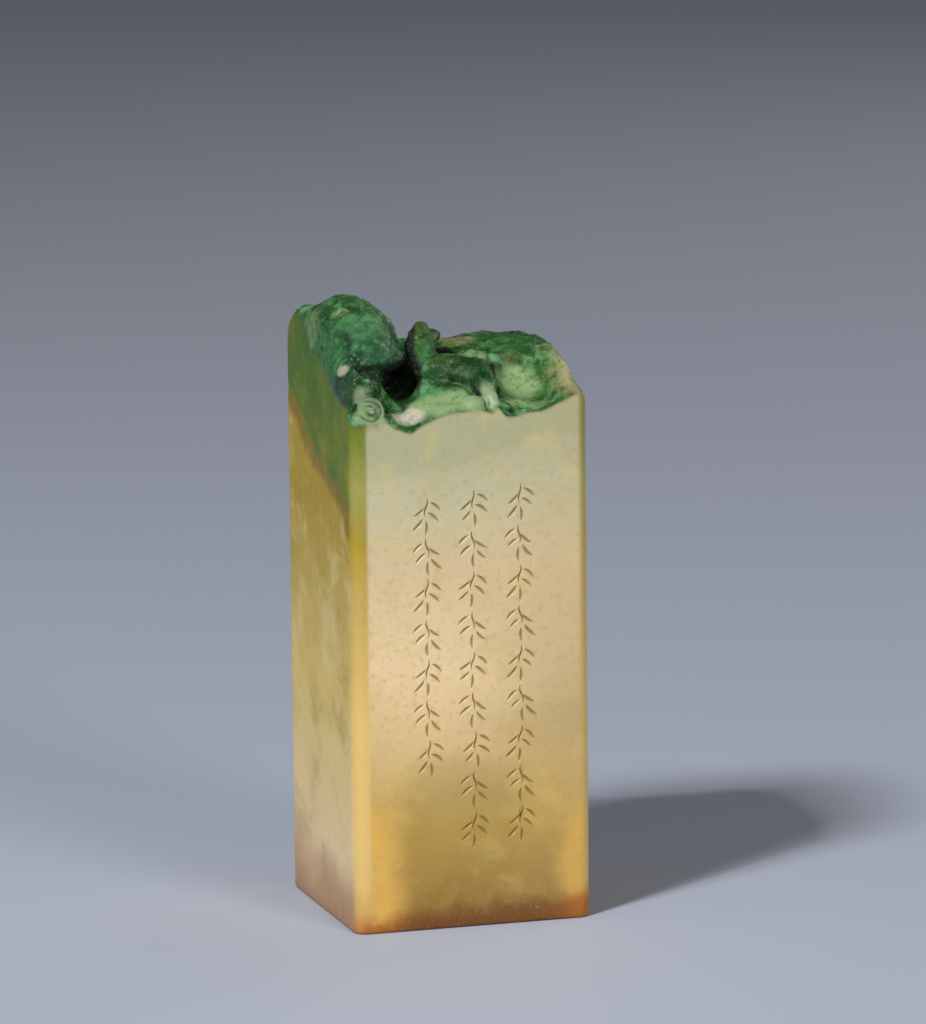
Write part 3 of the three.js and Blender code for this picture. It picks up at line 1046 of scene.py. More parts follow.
    def shaft_colour(self, kit: ShaderKit, at: Signal, drift: Signal) -> Signal:
        """Builds the shaft's colour, with painted shade darkening the right of the front.

        Args:
            kit: The material's nodes.
            at: The place in millimetres.
            drift: The same place, moved about by slow noise.

        Returns:
            The colour.
        """
        x, _, z = kit.parts(drift)
        true_x, true_y, true_z = kit.parts(at)
        half_x, half_y = self.size.width / 2, self.size.depth / 2
        body = kit.ramp(z, self.shaft_tones)
        # The right of the front is darker: partly its own tone, partly painted shade where the light falls off away
        # from the left.
        shade = kit.ease(z, 14.0, 24.0, 0.3, 0.6) * kit.ease(z, 24.0, 48.0, 1.0, 0.2)
        body = kit.mix(kit.ease(x, -5.0, 14.0) * shade, body, Tone.SHADE_AND_GRAIN)
        for stain in self.corners:
            body = kit.mix(self.cloud(kit, drift, stain), body, stain.tone)
        body = kit.tint(body, Tone.SAGE, z - x * 0.22, 53.5, 54.6, 0.22)
        body = kit.tint(body, Tone.SHADE_AND_GRAIN, kit.noise(at, 1.4, 4.0, 0.6), 0.5, 0.68, 0.3)
        clouds = kit.noise(at, 0.16, 4.0, 0.6, 0.4)
        body = kit.tint(body, Tone.SAND, clouds, 0.5, 0.7, 0.3)
        body = kit.tint(body, Tone.GOLD, clouds, 0.46, 0.3, 0.25)
        astray = (clouds - 0.5) * kit.ease(true_y, -12.0, -8.0, 0.0, 7.0)
        rind = kit.ease(true_x + astray, self.rind_edge, self.rind_edge - 0.5)
        body = kit.mix(rind, body, self.rind_colour(kit, at, drift))
        across = kit.ease(kit.math("ABSOLUTE", true_x), half_x - 1.5, half_x - 0.7)
        near = kit.ease(true_x, 2.2 - half_x, 1.6 - half_x)
        edge = kit.math("MAXIMUM", across, near) * kit.ease(true_y, 1.4 - half_y, 0.5 - half_y)
        band = kit.tint(kit.ramp(z, self.edge_tones), Tone.GOLD, true_x, 0.0, 10.0, 0.35)
        body = kit.mix(edge * 0.85, body, band)
        rise = true_z + kit.noise(at, 0.5) * 2.4 - true_x * 0.06
        foot = kit.ease(rise, self.foot_height, self.foot_height - 2.4)
        foot = foot * kit.ease(true_x, -13.9, -12.4, 0.15, 0.9)
        glow = kit.ease(kit.math("ABSOLUTE", true_x - 1.0), 7.0, 13.0, 0.0, 0.8)
        glow = glow * kit.ease(true_y, -9.0, -12.5, 0.15, 1.0)
        return kit.mix(foot, body, kit.mix(glow, Tone.AMBER, Tone.RUSSET))

    def rind_colour(self, kit: ShaderKit, at: Signal, drift: Signal) -> Signal:
        """Builds the colour of the stone's left skin: an olive wedge, a brown seam and mottled tan.

        Args:
            kit: The material's nodes.
            at: The place in millimetres.
            drift: The same place, moved about by slow noise.

        Returns:
            The colour.
        """
        _, y, z = kit.parts(drift)
        diagonal = z - 1.6 + kit.noise(at, 0.55, 4.0, 0.65) * 3.2 - y * 0.48
        tilted = kit.out("ShaderNodeVectorRotate", {"Vector": at, "Angle": -0.5}, rotation_type="X_AXIS")
        mottle = kit.noise(kit.vector("MULTIPLY", tilted, (1.0, 0.6, 0.8)), 0.2, 6.0, 0.66, 0.25)
        lower = kit.ramp(z, self.rind_tones)
        lower = kit.tint(lower, Tone.BRASS, mottle, 0.48, 0.7, 0.45)
        lower = kit.tint(lower, Tone.CLAY, mottle, 0.5, 0.3, 0.5)
        lower = kit.tint(lower, Tone.PLUM, z - y * 0.35, 9.0, 3.0, 0.6)
        upper = kit.tint(Tone.LEEK, Tone.MOSS, mottle, 0.44, 0.64, 0.6)
        upper = kit.tint(upper, Tone.TAN, mottle, 0.44, 0.32, 0.5)
        upper = kit.tint(upper, Tone.MOSS, z, 58.0, 66.0, 0.6)
        seam = self.seam_height
        skin = kit.mix(kit.ease(diagonal, seam - 0.2, seam + 2.2), lower, upper)
        return kit.tint(skin, Tone.UMBER, kit.math("ABSOLUTE", diagonal - seam), 2.4, 0.1, 0.6)

    def carved_colour(self, kit: ShaderKit, at: Signal, wisp: Signal, hollow: Signal, hewn: Signal) -> Signal:
        """Builds the colour of the carved top, with painted shade in its hollows.

        Args:
            kit: The material's nodes.
            at: The place in millimetres.
            wisp: The same place, moved about by quicker noise.
            hollow: How deep in a hollow the surface lies, from 0 to 1.
            hewn: 0 where the surface is polished, and 1 elsewhere.

        Returns:
            The colour.
        """
        patches = kit.noise(at, 0.34, 4.0, 0.6, 0.5)
        colour = kit.tint(Tone.EMERALD, Tone.MOSS, patches, 0.4, 0.52)
        colour = kit.tint(colour, Tone.VERDIGRIS, patches, 0.5, 0.66)
        for stain in self.stains_and_shade:
            colour = kit.mix(self.cloud(kit, at if stain.polished else wisp, stain), colour, stain.tone)
        fine, specks = kit.noise(at, 1.0, 4.0, 0.65, 0.6), kit.noise(at, 3.0, 3.0, 0.6)
        light = kit.math("MAXIMUM", kit.ease(fine, 0.52, 0.7, 0.0, 0.4), kit.ease(specks, 0.6, 0.72, 0.0, 0.3))
        colour = kit.mix(kit.ease(fine, 0.51, 0.32, 0.0, 0.75) * hewn, colour, Tone.EMERALD)
        colour = kit.mix(light * hewn, colour, Tone.VERDIGRIS)
        # Painted shade: the deeper a hollow, the nearer its colour goes to near-black green.
        return kit.mix(kit.ease(hollow, 0.3, 0.78) * (hewn * 0.5 + 0.48), colour, Tone.SHADOW_GREEN)

    def material(self) -> bpy.types.Material:
        """Builds the stone's material.

        Returns:
            The material.
        """
        material = bpy.data.materials.new("soapstone")
        material.use_nodes = True
        kit = ShaderKit(material.node_tree)
        kit.tree.nodes.clear()
        at = kit.vector("MULTIPLY", kit.out("ShaderNodeTexCoord", output="Object"), (1 / MM,) * 3)
        drift, wisp = kit.moved(at, *self.drift), kit.moved(at, *self.wisp)
        carved, hollow, cut = (
            kit.out("ShaderNodeAttribute", output="Fac", attribute_name=name) for name in ("carved", "hollow", "cut")
        )
        true_x, _, true_z = kit.parts(at)
        hewn = 1.0 - self.most(kit, at, (stain for stain in self.stains_and_shade if stain.polished)) * carved
        crust = self.most(kit, wisp, self.crusts) * carved
        top = self.carved_colour(kit, at, wisp, hollow, hewn)
        edge = carved + kit.noise(at, 0.8) * 0.3
        colour = kit.mix(kit.ease(edge, 0.3, 1.0), self.shaft_colour(kit, at, drift), top)
        grit = kit.noise(at, 3.2, 3.0, 0.7)
        colour = kit.mix(crust * kit.ease(grit, 0.3, 0.6, 0.45, 0.95), colour, Tone.CHALK)
        colour = kit.tint(colour, Tone.GROOVE, cut, 0.05, 0.6, 0.7)
        colour = kit.tint(colour, Tone.CREAM, kit.noise(at, 5.0, 2.0, 0.5), 0.62, 0.74, 0.3)
        # Painted glints: small white specks on the carved top and on the left face.
        painted_glint = kit.ease(kit.noise(at, 3.4, 2.0, 0.7), 0.56, 0.7) * kit.ease(kit.noise(at, 0.5), 0.5, 0.64, 0.0, 0.38)
        glint_area = kit.math("MAXIMUM", carved, kit.ease(true_x, -13.7, -13.9, 0.0, 0.6))
        colour = kit.mix(painted_glint * hewn * glint_area, colour, Tone.CHALK)
        rough = self.roughness + kit.ease(true_x, -13.0, -13.9, 0.0, 0.22) * (1.0 - carved)
        rough = rough - carved * (0.17 - hewn * 0.04) + cut * 0.25 + crust * 0.3
        rough = rough + kit.ease(true_z, 5.0, 1.0, 0.0, 0.2)
        rough = kit.math("ADD", rough, kit.ease(kit.noise(at, 0.7, 4.0), 0.35, 0.7, -0.05, 0.07), clamp=True)
        hairs = kit.noise(kit.vector("MULTIPLY", wisp, (1.0, 3.0, 0.8)), 1.6, 4.0, 0.6, 2.0)
        hairs = hairs + kit.noise(kit.vector("MULTIPLY", wisp, (2.4, 0.8, 1.2)), 2.2, 3.0, 0.6, 1.4)
        height = hairs * carved * hewn + grit * (carved * 0.22 + 0.03 + crust)
        finish = {
            "Base Color": colour,
            "Roughness": rough,
            "IOR": self.ior,
            "Normal": kit.out(
                "ShaderNodeBump", {"Strength": self.bump, "Distance": self.bump_depth, "Height": height}
            ),
            "Subsurface Weight": self.subsurface,
            "Subsurface Radius": self.subsurface_radius,
            "Subsurface Scale": self.subsurface_depth,
            "Specular IOR Level": self.gloss,
        }
        kit.add("ShaderNodeOutputMaterial", {"Surface": kit.out("ShaderNodeBsdfPrincipled", finish)})
        return material


def placed(name: str, data: Any) -> bpy.types.Object:
    """Puts a new object into the scene.

    Args:
        name: Its name.
        data: Its mesh, lamp or camera.

    Returns:
        The object.
    """
    thing = bpy.data.objects.new(name, data)
    bpy.context.scene.collection.objects.link(thing)
    return thing


class TreeKit(NodeKit):
    """Short ways to build a Geometry Nodes tree with named inputs."""

    KINDS = {
        int: "NodeSocketInt",
        float: "NodeSocketFloat",
        tuple: "NodeSocketVector",
        bpy.types.Material: "NodeSocketMaterial",
    }

    def __init__(self, name: str, inputs: dict[str, Any]) -> None:
        """Makes the tree.

        Args:
            name: The tree's name.
            inputs: The value of each of its inputs, by name.
        """
        super().__init__(bpy.data.node_groups.new(name, "GeometryNodeTree"))
        face = self.tree.interface
        for title, value in inputs.items():
            socket = face.new_socket(title, in_out="INPUT", socket_type=self.KINDS[type(value)])
            socket.default_value = value
        face.new_socket("Geometry", in_out="OUTPUT", socket_type="NodeSocketGeometry")
        given = self.add("NodeGroupInput").outputs
        self.given = {title: Signal(self, given[title]) for title in inputs}

    def joined(self, *parts: Signal) -> Signal:
        """Joins geometry.

        Args:
            parts: The geometry.

        Returns:
            All of it as one.
        """
        node = self.add("GeometryNodeJoinGeometry")
        for part in parts:
            self.feed(node.inputs[0], part)
        return Signal(self, node.outputs[0])

    def shifted(self, geometry: Signal, by: Any, turn: Place = (0.0, 0.0, 0.0), scale: float = 1.0) -> Signal:
        """Returns geometry moved, turned and scaled."""
        inputs = {"Geometry": geometry, "Translation": by, "Rotation": turn, "Scale": (scale, scale, scale)}
        return self.out("GeometryNodeTransform", inputs)

    def line(self, count: Any, step: Any = (0.0, 0.0, 0.0)) -> Signal:
        """Returns a row of points."""
        return self.out("GeometryNodeMeshLine", {"Count": count, "Offset": step}, mode="OFFSET")

    def instances(self, points: Signal, figure: Signal, turn: Signal, scale: Any = (1.0, 1.0, 1.0)) -> Signal:
        """Returns a figure set on each of some points."""
        inputs = {"Points": points, "Instance": figure, "Rotation": turn, "Scale": scale}
        return self.out("GeometryNodeInstanceOnPoints", inputs)

    def real(self, geometry: Signal) -> Signal:
        """Returns instances as real geometry."""
        return self.out("GeometryNodeRealizeInstances", {"Geometry": geometry})

    def random(self, low: float, high: float, number: Signal, salt: float = 0.0) -> Signal:
        """Returns a random value for each number."""
        inputs = {2: low, 3: high, "ID": number, "Seed": self.given["Seed"] + salt}
        return self.out("FunctionNodeRandomValue", inputs, 1, data_type="FLOAT")

    def finish(self, geometry: Signal) -> bpy.types.NodeTree:
        """Ends the tree in real geometry with its material.

        Args:
            geometry: What the tree makes.

        Returns:
            The tree.
        """
        inputs = {"Geometry": self.real(geometry), "Material": self.given["Material"]}
        self.add("NodeGroupOutput", {0: self.out("GeometryNodeSetMaterial", inputs)})
        return self.tree


def grown(tree: bpy.types.NodeTree, values: dict[str, Any]) -> bpy.types.Mesh:
    """Runs a Geometry Nodes tree and keeps its result.

    Args:
        tree: The tree.
        values: A value for each input, by name.

    Returns:
        The result as a plain mesh.
    """
    thing = placed(tree.name, bpy.data.meshes.new(tree.name))
    modifier = thing.modifiers.new(tree.name, "NODES")
    modifier.node_group = tree
    for item in tree.interface.items_tree:
        if item.in_out == "INPUT":
            modifier[item.identifier] = values[item.name]
    mesh = bpy.data.meshes.new_from_object(thing.evaluated_get(bpy.context.evaluated_depsgraph_get()))
    bpy.data.objects.remove(thing)
    return mesh


def lengths(owner: Any, *names: str) -> dict[str, float]:
    """Returns some of an owner's lengths in metres, by the titles that a tree's inputs have."""
    return {name.replace("_", " ").title(): getattr(owner, name) * MM for name in names}


@dataclass
class LeafSprays:
    """Hanging sprays of narrow leaves, cut into the front in three columns, in millimetres."""

    size: StoneSize
    columns: tuple[tuple[float, float, int], ...] = ((5.7, 50.6, 9), (0.2, 50.2, 9), (-5.2, 49.6, 7))
    spacing: float = 4.6
    stem_length: float = 2.3
    stem_sway: float = 0.6
    leaf_pairs: int = 2
    leaf_length: float = 2.0
    leaf_width: float = 0.54
    leaf_gap: float = 0.2
    stem_width: float = 0.3
    cut_depth: float = 0.2
    spread: float = 42.0
    seed: int = 11

    def inputs(self, column: int, material: bpy.types.Material) -> dict[str, Any]:
        """Lists the values of the tree's inputs for one column.

        Args:
            column: Which column.
            material: The stone's material.

        Returns:
            The values, by name.
        """
        x, z, count = self.columns[column]
        return {
            **lengths(self, "spacing", "stem_length", "stem_sway", "stem_width", "cut_depth"),
            **lengths(self, "leaf_length", "leaf_width", "leaf_gap"),
            "Sprays": count,
            "Leaf Pairs": self.leaf_pairs,
            "Spread": math.radians(self.spread),
            "Top": (x * MM, -self.size.depth / 2 * MM, z * MM),
            "Seed": self.seed + column,
            "Material": material,
        }

    def blade(self, kit: TreeKit, curve: Signal, width: Signal) -> Signal:
        """Sweeps a tapered chisel stroke along a curve.

        Args:
            kit: The tree's nodes.
            curve: The middle of the stroke.
            width: How wide it is at its widest.

        Returns:
            A closed solid that reaches as far over the surface as into it.
        """
        fine = kit.out("GeometryNodeResampleCurve", {"Curve": curve, "Count": 9})
        flat = kit.out("GeometryNodeSetCurveNormal", {"Curve": fine}, mode="Z_UP")
        arch = kit.math("SINE", kit.out("GeometryNodeSplineParameter") * math.pi, clamp=True)
        taper = kit.math("MAXIMUM", kit.math("POWER", arch, 0.7), 0.08)
        depth = kit.given["Cut Depth"]
        heights = {"Width": width, "Bottom Height": depth, "Top Height": depth}
        section = kit.out("GeometryNodeCurvePrimitiveQuadrilateral", heights, mode="KITE")
        inputs = {"Curve": flat, "Profile Curve": section, "Scale": taper, "Fill Caps": True}
        return kit.out("GeometryNodeCurveToMesh", inputs)

    def tree(self, inputs: dict[str, Any]) -> bpy.types.NodeTree:
        """Builds the tree that grows one column of sprays.

        Args:
            inputs: A value for each of its inputs, by name.

        Returns:
            The tree.
        """
        kit = TreeKit("leaf_sprays", inputs)
        given = kit.given
        down, sway = given["Stem Length"] * -1.0, given["Stem Sway"]
        bends = {
            "Start": (0.0, 0.0, 0.0),
            "Start Handle": kit.xyz(sway, down * 0.33),
            "End Handle": kit.xyz(sway * -1.0, down * 0.66),
            "End": kit.xyz(0.0, down),
        }
        stem = kit.out("GeometryNodeCurvePrimitiveBezierSegment", bends)
        root = given["Stem Width"] * 0.5 + given["Leaf Gap"]
        tip = root + given["Leaf Length"]
        belly = kit.xyz((root + tip) * 0.5, given["Leaf Length"] * 0.16)
        spine = {"Start": kit.xyz(root), "Middle": belly, "End": kit.xyz(tip)}
        leaf = self.blade(kit, kit.out("GeometryNodeCurveQuadraticBezier", spine), given["Leaf Width"])
        leafy = kit.out("GeometryNodeTrimCurve", {"Curve": stem, 2: 0.16, 3: 0.9})
        nodes = kit.out("GeometryNodeResampleCurve", {"Curve": leafy, "Count": given["Leaf Pairs"] * 2.0})
        number = kit.out("GeometryNodeInputIndex")
        odd, slant = kit.math("MODULO", number, 2.0), kit.random(-0.12, 0.12, number)
        turn = odd * (given["Spread"] - math.pi + slant) + (1.0 - odd) * (slant - given["Spread"])
        leaves = kit.instances(nodes, leaf, kit.xyz(z=turn), kit.random(0.8, 1.02, number, 5.0))
        end = kit.shifted(leaf, kit.xyz(0.0, down), (0.0, 0.0, -math.pi / 2), 0.9)
        spray = kit.joined(self.blade(kit, stem, given["Stem Width"]), leaves, end)
        spot = kit.out("GeometryNodeInputIndex")
        about = kit.xyz(0.0, kit.math("MODULO", spot, 2.0) * math.pi, kit.random(-0.1, 0.1, spot, 9.0))
        anchors = kit.line(given["Sprays"], kit.xyz(0.0, given["Spacing"] * -1.0))
        column = kit.instances(anchors, kit.real(spray), about)
        return kit.finish(kit.shifted(column, given["Top"], (math.pi / 2, 0.0, 0.0)))

    def cutters(self, material: bpy.types.Material) -> bpy.types.Mesh:
        """Grows all the chisel strokes.

        Args:
            material: The stone's material.

        Returns:
            The strokes as one mesh of closed solids.
        """
        tree, strokes = self.tree(self.inputs(0, material)), bmesh.new()
        for column in range(len(self.columns)):
            strokes.from_mesh(grown(tree, self.inputs(column, material)))
        mesh = bpy.data.meshes.new("leaf_strokes")
        bmesh.ops.recalc_face_normals(strokes, faces=strokes.faces)
        strokes.to_mesh(mesh)
        strokes.free()
        return mesh


@dataclass
class PrintingFace:
    """The relief cut into the foot: a border, a ring, a flower of petals and corner leaves."""

    size: StoneSize
    relief_depth: float = 1.0
    border_width: float = 1.5
    disc_radius: float = 1.7
    petals: int = 8
    petal_length: float = 4.4
    petal_width: float = 2.9
    figure_gap: float = 0.9
    ring_inner: float = 8.6
    ring_width: float = 1.1
    leaf_length: float = 4.2
    leaf_width: float = 2.0

    def tree(self, inputs: dict[str, Any]) -> bpy.types.NodeTree:
        """Builds the tree that makes what is cut away round the raised figures.

        Args:
            inputs: A value for each of its inputs, by name.

        Returns:
            The tree.
        """
        kit = TreeKit("printing_recess", inputs)
        given = kit.given

        def circle(radius: Signal, count: int) -> Signal:
            """Returns a circle with a number of points."""
            inputs = {"Resolution": count, "Radius": radius}
            return kit.out("GeometryNodeCurvePrimitiveCircle", inputs, mode="RADIUS")

        def leaf(length: Signal, width: Signal) -> Signal:
            """Draws a leaf from the origin along X.

            Args:
                length: Its length.
                width: How far its sides' handles reach.

            Returns:
                Its closed outline.
            """
            path = ((0.0, 0.0), (0.3, 0.68), (0.8, 0.62), (1.0, 0.0))
            sides = []
            for sign, order in ((1.0, path), (-1.0, path[::-1])):
                spots = [kit.xyz(length * along, width * (sign * across)) for along, across in order]
                bends = dict(zip(("Start", "Start Handle", "End Handle", "End"), spots))
                side = kit.out("GeometryNodeCurvePrimitiveBezierSegment", {"Resolution": 16, **bends})
                sides.append(kit.out("GeometryNodeCurveToMesh", {"Curve": side}))
            return kit.out("GeometryNodeMeshToCurve", {"Mesh": welded(kit.joined(*sides), 1e-6)})

        def welded(geometry: Signal, distance: float) -> Signal:
            """Returns geometry with the points that touch made one."""
            return kit.out("GeometryNodeMergeByDistance", {"Geometry": geometry, "Distance": distance})

        def spread(figure: Signal, start: Signal, count: Any, first: float) -> Signal:
            """Returns some of a figure in a ring, from a first angle on."""
            turn = kit.out("GeometryNodeInputIndex") * kit.math("DIVIDE", 2 * math.pi, count) + first
            return kit.real(kit.instances(kit.line(count), kit.shifted(figure, kit.xyz(start)), kit.xyz(z=turn)))

        border = {"Width": given["Width"], "Height": given["Depth"]}
        outlines = kit.joined(
            kit.out("GeometryNodeCurvePrimitiveQuadrilateral", border, mode="RECTANGLE"),
            circle(given["Ring Outer"], 72),
            circle(given["Ring Inner"], 72),
            circle(given["Disc Radius"], 40),
            spread(leaf(given["Petal Length"], given["Petal Width"]), given["Petal Start"], given["Petals"], 0.0),
            spread(leaf(given["Leaf Length"], given["Leaf Width"]), given["Leaf Start"], 4, math.pi / 4),
        )
        plate = kit.out("GeometryNodeFillCurve", {"Curve": outlines}, mode="TRIANGLES")
        low = kit.shifted(plate, kit.xyz(z=given["Relief Depth"] * -1.0))
        rise = {"Offset": (0.0, 0.0, 1.0), "Offset Scale": given["Relief Depth"] * 2.0, "Individual": False}
        raised = kit.out("GeometryNodeExtrudeMesh", {"Mesh": low, **rise}, mode="FACES")
        under = kit.out("GeometryNodeFlipFaces", {"Mesh": low})
        return kit.finish(welded(kit.joined(raised, under), 1e-7))

    def recess(self, material: bpy.types.Material) -> bpy.types.Mesh:
        """Makes what is cut away from the foot.

        Args:
            material: The stone's material.

        Returns:
            One closed mesh.
        """
        s = self.size
        inset = 2 * (s.foot_bevel + self.border_width)
        outer = self.ring_inner + self.ring_width
        derived = {
            "Width": s.width - inset,
            "Depth": s.depth - inset,
            "Ring Outer": outer,
            "Petal Start": self.disc_radius + self.figure_gap,
            "Leaf Start": outer + self.figure_gap,
        }
        inputs = {
            **lengths(self, "relief_depth", "disc_radius", "ring_inner"),
            **lengths(self, "petal_length", "petal_width", "leaf_length", "leaf_width"),
            **{title: length * MM for title, length in derived.items()},
            "Petals": self.petals,
            "Material": material,
        }
        return grown(self.tree(inputs), inputs)


@dataclass
class SealStone:
    """The whole stone: its shaft and carved top as one skin, cut with its leaves and its relief.

    Lengths are in millimetres. The lumps of the flank and the grit are layers of grain, each with a seed, a
    pitch and a strength. The hollows are looked for at some reaches over the surface, each with a weight.
    """

    size: StoneSize = field(default_factory=StoneSize)
    facet: float = 0.2
    root_drop: float = 4.4
    ring_heights: tuple[float, ...] = (50.0, 45.0, 40.0, 35.0, 30.0, 25.0, 20.0, 15.0, 10.0, 6.0, 3.0, 1.4)
    grit_height: float = 0.09
    flank_start: float = -0.7
    flank_slope: float = 0.43
    flank_lumps: tuple[tuple[int, float, float], ...] = ((31, 2.6, 1.1), (32, 1.1, 0.5))
    grit: tuple[tuple[int, float, float], ...] = ((21, 0.9, 1.0), (22, 0.45, 0.7))
    carved_drop: float = 5.0
    hollow_reaches: tuple[tuple[float, float], ...] = ((0.8, 0.25), (1.6, 0.3), (3.0, 0.3), (5.0, 0.3))
    engraved_margin: float = 2.0
    engraved_below: float = 6.0
    engraved_angle: float = 4.0
    cut_angle: float = 32.0

    def __post_init__(self) -> None:
        """Works out the carved forms once."""
        self.rockwork = Rockwork(self.size)
        self.form = self.rockwork.stone()

    def carved_skin(self) -> tuple[np.ndarray, np.ndarray]:
        """Takes the surface off the carved top.

        Returns:
            Its vertices and faces, open below.
        """
        s = self.size
        reach = np.array([s.width / 2, s.depth / 2]) + 2.5 * self.facet
        tallest = max(self.rockwork.boulder_height, self.rockwork.pinnacle_height)
        low = np.array([*-reach, s.shoulder - self.root_drop])
        high = np.array([*reach, s.shoulder + tallest + 4 * self.facet])
        lattice = Lattice(low, high, self.facet)
        vertices, faces = lattice.surface(lattice.sample(self.form))
        return settle(vertices, self.form, 0.5 * self.facet), faces

    def flank(self, at: np.ndarray) -> np.ndarray:
        """Finds the rough flank, above a line that climbs the left face.

        Args:
            at: The points.

        Returns:
            How far each is on it, from 0 to 1.
        """
        s = self.size
        over = at[:, 2] - s.shoulder - self.flank_start - self.flank_slope * (at[:, 1] + s.depth / 2)
        over += layered(self.flank_lumps, at)
        return ease(over, -0.6, 1.2) * ease(-at[:, 0], 9.0, 11.0)

    def weathered(self, vertices: np.ndarray) -> np.ndarray:
        """Roughens the carved faces a little, away from the polished sides.

        Args:
            vertices: Places on the skin.

        Returns:
            Their new places.
        """
        normal = slope_of(vertices, self.form)
        normal /= np.maximum(length_of(normal), 1e-6)[:, None]
        inner = np.maximum(ease(-self.size.beyond_sides(vertices), 0.25, 0.9), self.flank(vertices))
        grit = layered(self.grit, vertices)
        high = ease(vertices[:, 2], self.size.shoulder + 2, self.size.shoulder + 6)
        amount = self.grit_height * inner * (0.4 + 1.2 * high) * grit
        return vertices + normal * amount[:, None]

    def body(self) -> bpy.types.Mesh:
        """Joins the carved top, the shaft and the foot's bevel.

        Returns:
            The closed stone, before its leaves and relief are cut.
        """
        s = self.size
        vertices, faces = self.carved_skin()
        loop = edge_loop(faces, len(vertices))
        vertices = self.weathered(vertices)
        level = vertices[loop, 2].mean()
        vertices[loop, 2] = level
        outline = vertices[loop][:, :2]
        flat = np.column_stack([outline, np.full(len(loop), level)])
        outward = slope_of(flat, s.beyond_sides)[:, :2]
        outward /= length_of(outward)[:, None]
        outline = outline - outward * s.beyond_sides(flat)[:, None]
        vertices[loop, :2] = outline
        arc = [math.radians(a) for a in (0, 30, 60, 90)]
        rings = [(z, 0.0) for z in self.ring_heights]
        rings += [(s.foot_bevel * (1 - math.sin(a)), s.foot_bevel * (1 - math.cos(a))) for a in arc]
        layers, skirts, above = [vertices], [], list(loop)
        total = len(vertices)
        for z, inset in rings:
            layers.append(np.column_stack([outline - inset * outward, np.full(len(loop), z)]))
            below = list(range(total, total + len(loop)))
            total += len(loop)
            skirts += [
                (above[(i + 1) % len(loop)], above[i], below[i], below[(i + 1) % len(loop)]) for i in range(len(loop))
            ]
            above = below
        mesh = bpy.data.meshes.new("seal_body")
        mesh.from_pydata((np.concatenate(layers) * MM).tolist(), [], faces.tolist() + skirts + [tuple(reversed(above))])
        mesh.validate()
        return mesh

    def cut(self, body: bpy.types.Mesh, cutters: Sequence[bpy.types.Mesh]) -> bpy.types.Mesh:
        """Cuts closed meshes out of the body.

        Args:
            body: The closed stone.
            cutters: What is taken out of it.

        Returns:
            The cut stone.
        """
        thing = placed("seal_body", body)
        tools = [placed(mesh.name, mesh) for mesh in cutters]
        for tool in tools:
            modifier = thing.modifiers.new(tool.name, "BOOLEAN")
            modifier.operation, modifier.solver, modifier.object = "DIFFERENCE", "MANIFOLD", tool
        result = bpy.data.meshes.new_from_object(thing.evaluated_get(bpy.context.evaluated_depsgraph_get()))
        for used in (thing, *tools):
            bpy.data.objects.remove(used)
        return result

    def mark(self, mesh: bpy.types.Mesh) -> None:
        """Writes where the stone is carved, lies in a hollow or is engraved, for its material.

        Args:
            mesh: The finished stone.
        """
        s = self.size
        at = np.empty(len(mesh.vertices) * 3)
        mesh.vertices.foreach_get("co", at)
        at = at.reshape(-1, 3) / MM
        carved, hollow = np.zeros(len(at)), np.zeros(len(at))
        high = np.flatnonzero(at[:, 2] > s.shoulder - self.carved_drop)
        top = at[high]
        carved[high] = np.maximum(ease(self.rockwork.rough()(top), -0.4, -0.05), self.flank(top))
        outward = slope_of(top, self.form)
        outward /= np.maximum(length_of(outward), 1e-6)[:, None]
        # How shut in by the stone each place is, sampled outwards along the normal; the material paints shade with it.
        for reach, weight in self.hollow_reaches:
            hollow[high] += weight * np.clip((reach - self.form(top + reach * outward)) / reach, 0.0, 1.0)
        margin = self.engraved_margin
        band = (at[:, 2] > margin) & (at[:, 2] < s.shoulder - self.engraved_below)
        band &= np.abs(at[:, 0]) < s.width / 2 - margin
        cut = np.where(band, ease(at[:, 1] + s.depth / 2, 0.01, 0.15), 0.0) * (at[:, 1] < 0)
        for name, values in (("carved", carved), ("hollow", hollow * carved), ("cut", cut)):
            layer = mesh.attributes.new(name, "FLOAT", "POINT")
            layer.data.foreach_set("value", values.astype(np.float32))

    def crisp(self, mesh: bpy.types.Mesh) -> None:
        """Shades the stone smooth, but keeps the edges of its cuts crisp.

        Args:
            mesh: The finished stone.
        """
        shaped = bmesh.new()
        shaped.from_mesh(mesh)
        s, low = self.size, self.engraved_margin * MM
        limit, inner = (s.shoulder - self.engraved_below) * MM, s.width / 2 * MM - low
        for edge in shaped.edges:
            place = edge.verts[0].co
            engraved = place.y < 0 and place.z > low and abs(place.x) < inner
            sharp = edge.calc_face_angle(0.0) > math.radians(self.engraved_angle if engraved else self.cut_angle)
            edge.smooth = not (place.z < limit and edge.is_manifold and sharp)
        for face in shaped.faces:
            face.smooth = True
        shaped.to_mesh(mesh)
        shaped.free()

    def build(self) -> bpy.types.Object:
        """Builds the stone and says what it is to the frame.

        Returns:
            The finished stone.
        """
        material = Soapstone(self.size).material()
        leaves = LeafSprays(self.size).cutters(material)
        recess = PrintingFace(self.size).recess(material)
        LOG.info("leaf strokes: %d faces, recess: %d faces", len(leaves.polygons), len(recess.polygons))
        mesh = self.cut(self.body(), [leaves, recess])
        self.mark(mesh)
        self.crisp(mesh)
        mesh.materials.clear()
        mesh.materials.append(material)
        mesh.name = "carved_seal"
        stone = placed("carved_seal", mesh)
        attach(stone, "root")
        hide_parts("seal_stone")
        return stone


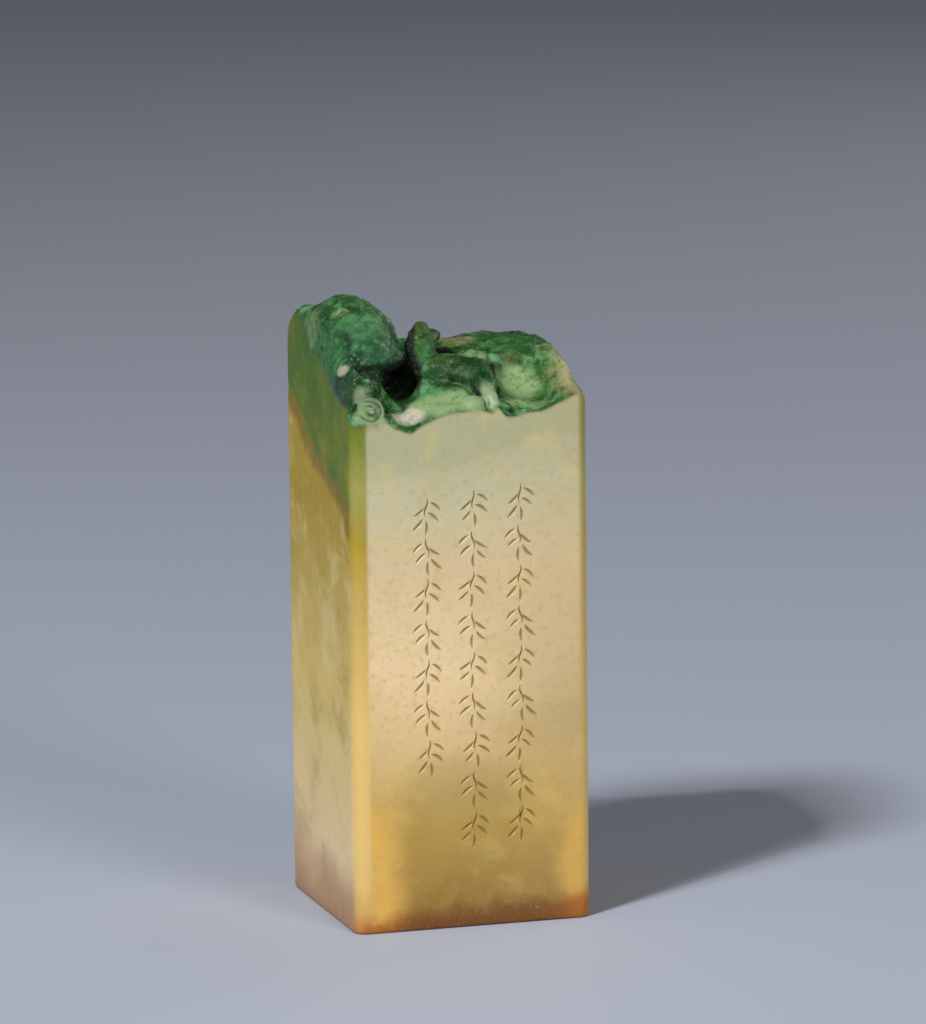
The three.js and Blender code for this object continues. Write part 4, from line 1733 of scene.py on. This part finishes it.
@dataclass
class Studio:
    """A pale floor, soft lamps and the photograph's camera.

    Places and widths are in metres. Each lamp has a name, a place, a width and a power in watts. The roll is in
    degrees, and the lens and the sensor in millimetres.
    """

    floor_size: float = 8.0
    floor_tone: tuple[float, float, float, float] = (0.44, 0.48, 0.575, 1.0)
    floor_roughness: float = 0.65
    world_tone: tuple[float, float, float, float] = (0.93, 0.95, 1.0, 1.0)
    world_strength: float = 0.08
    aim: Place = (0.0, 0.0, 0.036)
    lamps: tuple[tuple[str, Place, float, float], ...] = (
        ("key", (-0.63, -0.46, 0.82), 0.20, 8.8),
        ("fill", (0.30, -0.90, 0.36), 0.34, 4.1),
        ("glint", (-0.52, -0.40, 0.86), 0.04, 2.0),
        ("side", (0.78, 0.50, 0.30), 0.50, 1.1),
    )
    camera_place: Place = (-0.20681, -0.69514, 0.17042)
    camera_back: Place = (-0.28495, -0.94338, 0.16983)
    camera_roll: float = 0.574
    camera_lens: float = 226.8
    camera_sensor: float = 36.0
    camera_sight: float = 20.0

    def floor(self) -> None:
        """Lays the floor, a wide, flat, pale sheet."""
        sheet = bmesh.new()
        bmesh.ops.create_grid(sheet, x_segments=8, y_segments=8, size=self.floor_size / 2)
        mesh = bpy.data.meshes.new("floor")
        sheet.to_mesh(mesh)
        sheet.free()
        material = bpy.data.materials.new("floor")
        material.use_nodes = True
        shader = material.node_tree.nodes["Principled BSDF"]
        shader.inputs["Base Color"].default_value = self.floor_tone
        shader.inputs["Roughness"].default_value = self.floor_roughness
        mesh.materials.append(material)
        floor = placed("floor", mesh)

    def lights(self) -> None:
        """Lights the stone softly from the left and in front."""
        for name, place, size, power in self.lamps:
            lamp = bpy.data.lights.new(name, "AREA")
            lamp.shape, lamp.size, lamp.energy = "DISK", size, power
            holder = placed(name, lamp)
            holder.location = place
            holder.rotation_euler = (Vector(self.aim) - Vector(place)).to_track_quat("-Z", "Y").to_euler()
        world = bpy.data.worlds.new("studio")
        world.use_nodes = True
        backdrop = world.node_tree.nodes["Background"]
        backdrop.inputs["Color"].default_value = self.world_tone
        backdrop.inputs["Strength"].default_value = self.world_strength
        bpy.context.scene.world = world

    def camera(self) -> None:
        """Places the camera and turns it as the photograph's was."""
        back = Vector(self.camera_back).normalized()
        right = Vector((0.0, 0.0, 1.0)).cross(back).normalized()
        level = Matrix((right, back.cross(right), back)).transposed()
        turned = level @ Matrix.Rotation(math.radians(-self.camera_roll), 3, "Z")
        data = bpy.data.cameras.new("camera")
        data.lens, data.sensor_width = self.camera_lens, self.camera_sensor
        data.clip_end = self.camera_sight
        camera = placed("camera", data)
        camera.matrix_world = Matrix.LocRotScale(Vector(self.camera_place), turned, None)
        bpy.context.scene.camera = camera

    def build(self) -> None:
        """Sets up the floor, the lamps and the camera."""
        self.floor()
        self.lights()
        self.camera()
        bpy.context.scene.view_settings.view_transform = "Standard"


def main() -> None:
    """Builds the stone and its studio."""
    logging.basicConfig(level=logging.INFO, format="%(name)s: %(message)s")
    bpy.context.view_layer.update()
    Studio().build()
    stone = SealStone().build()
    LOG.info("%s: %d vertices, %d faces", stone.name, len(stone.data.vertices), len(stone.data.polygons))


if __name__ == "__main__":
    main()
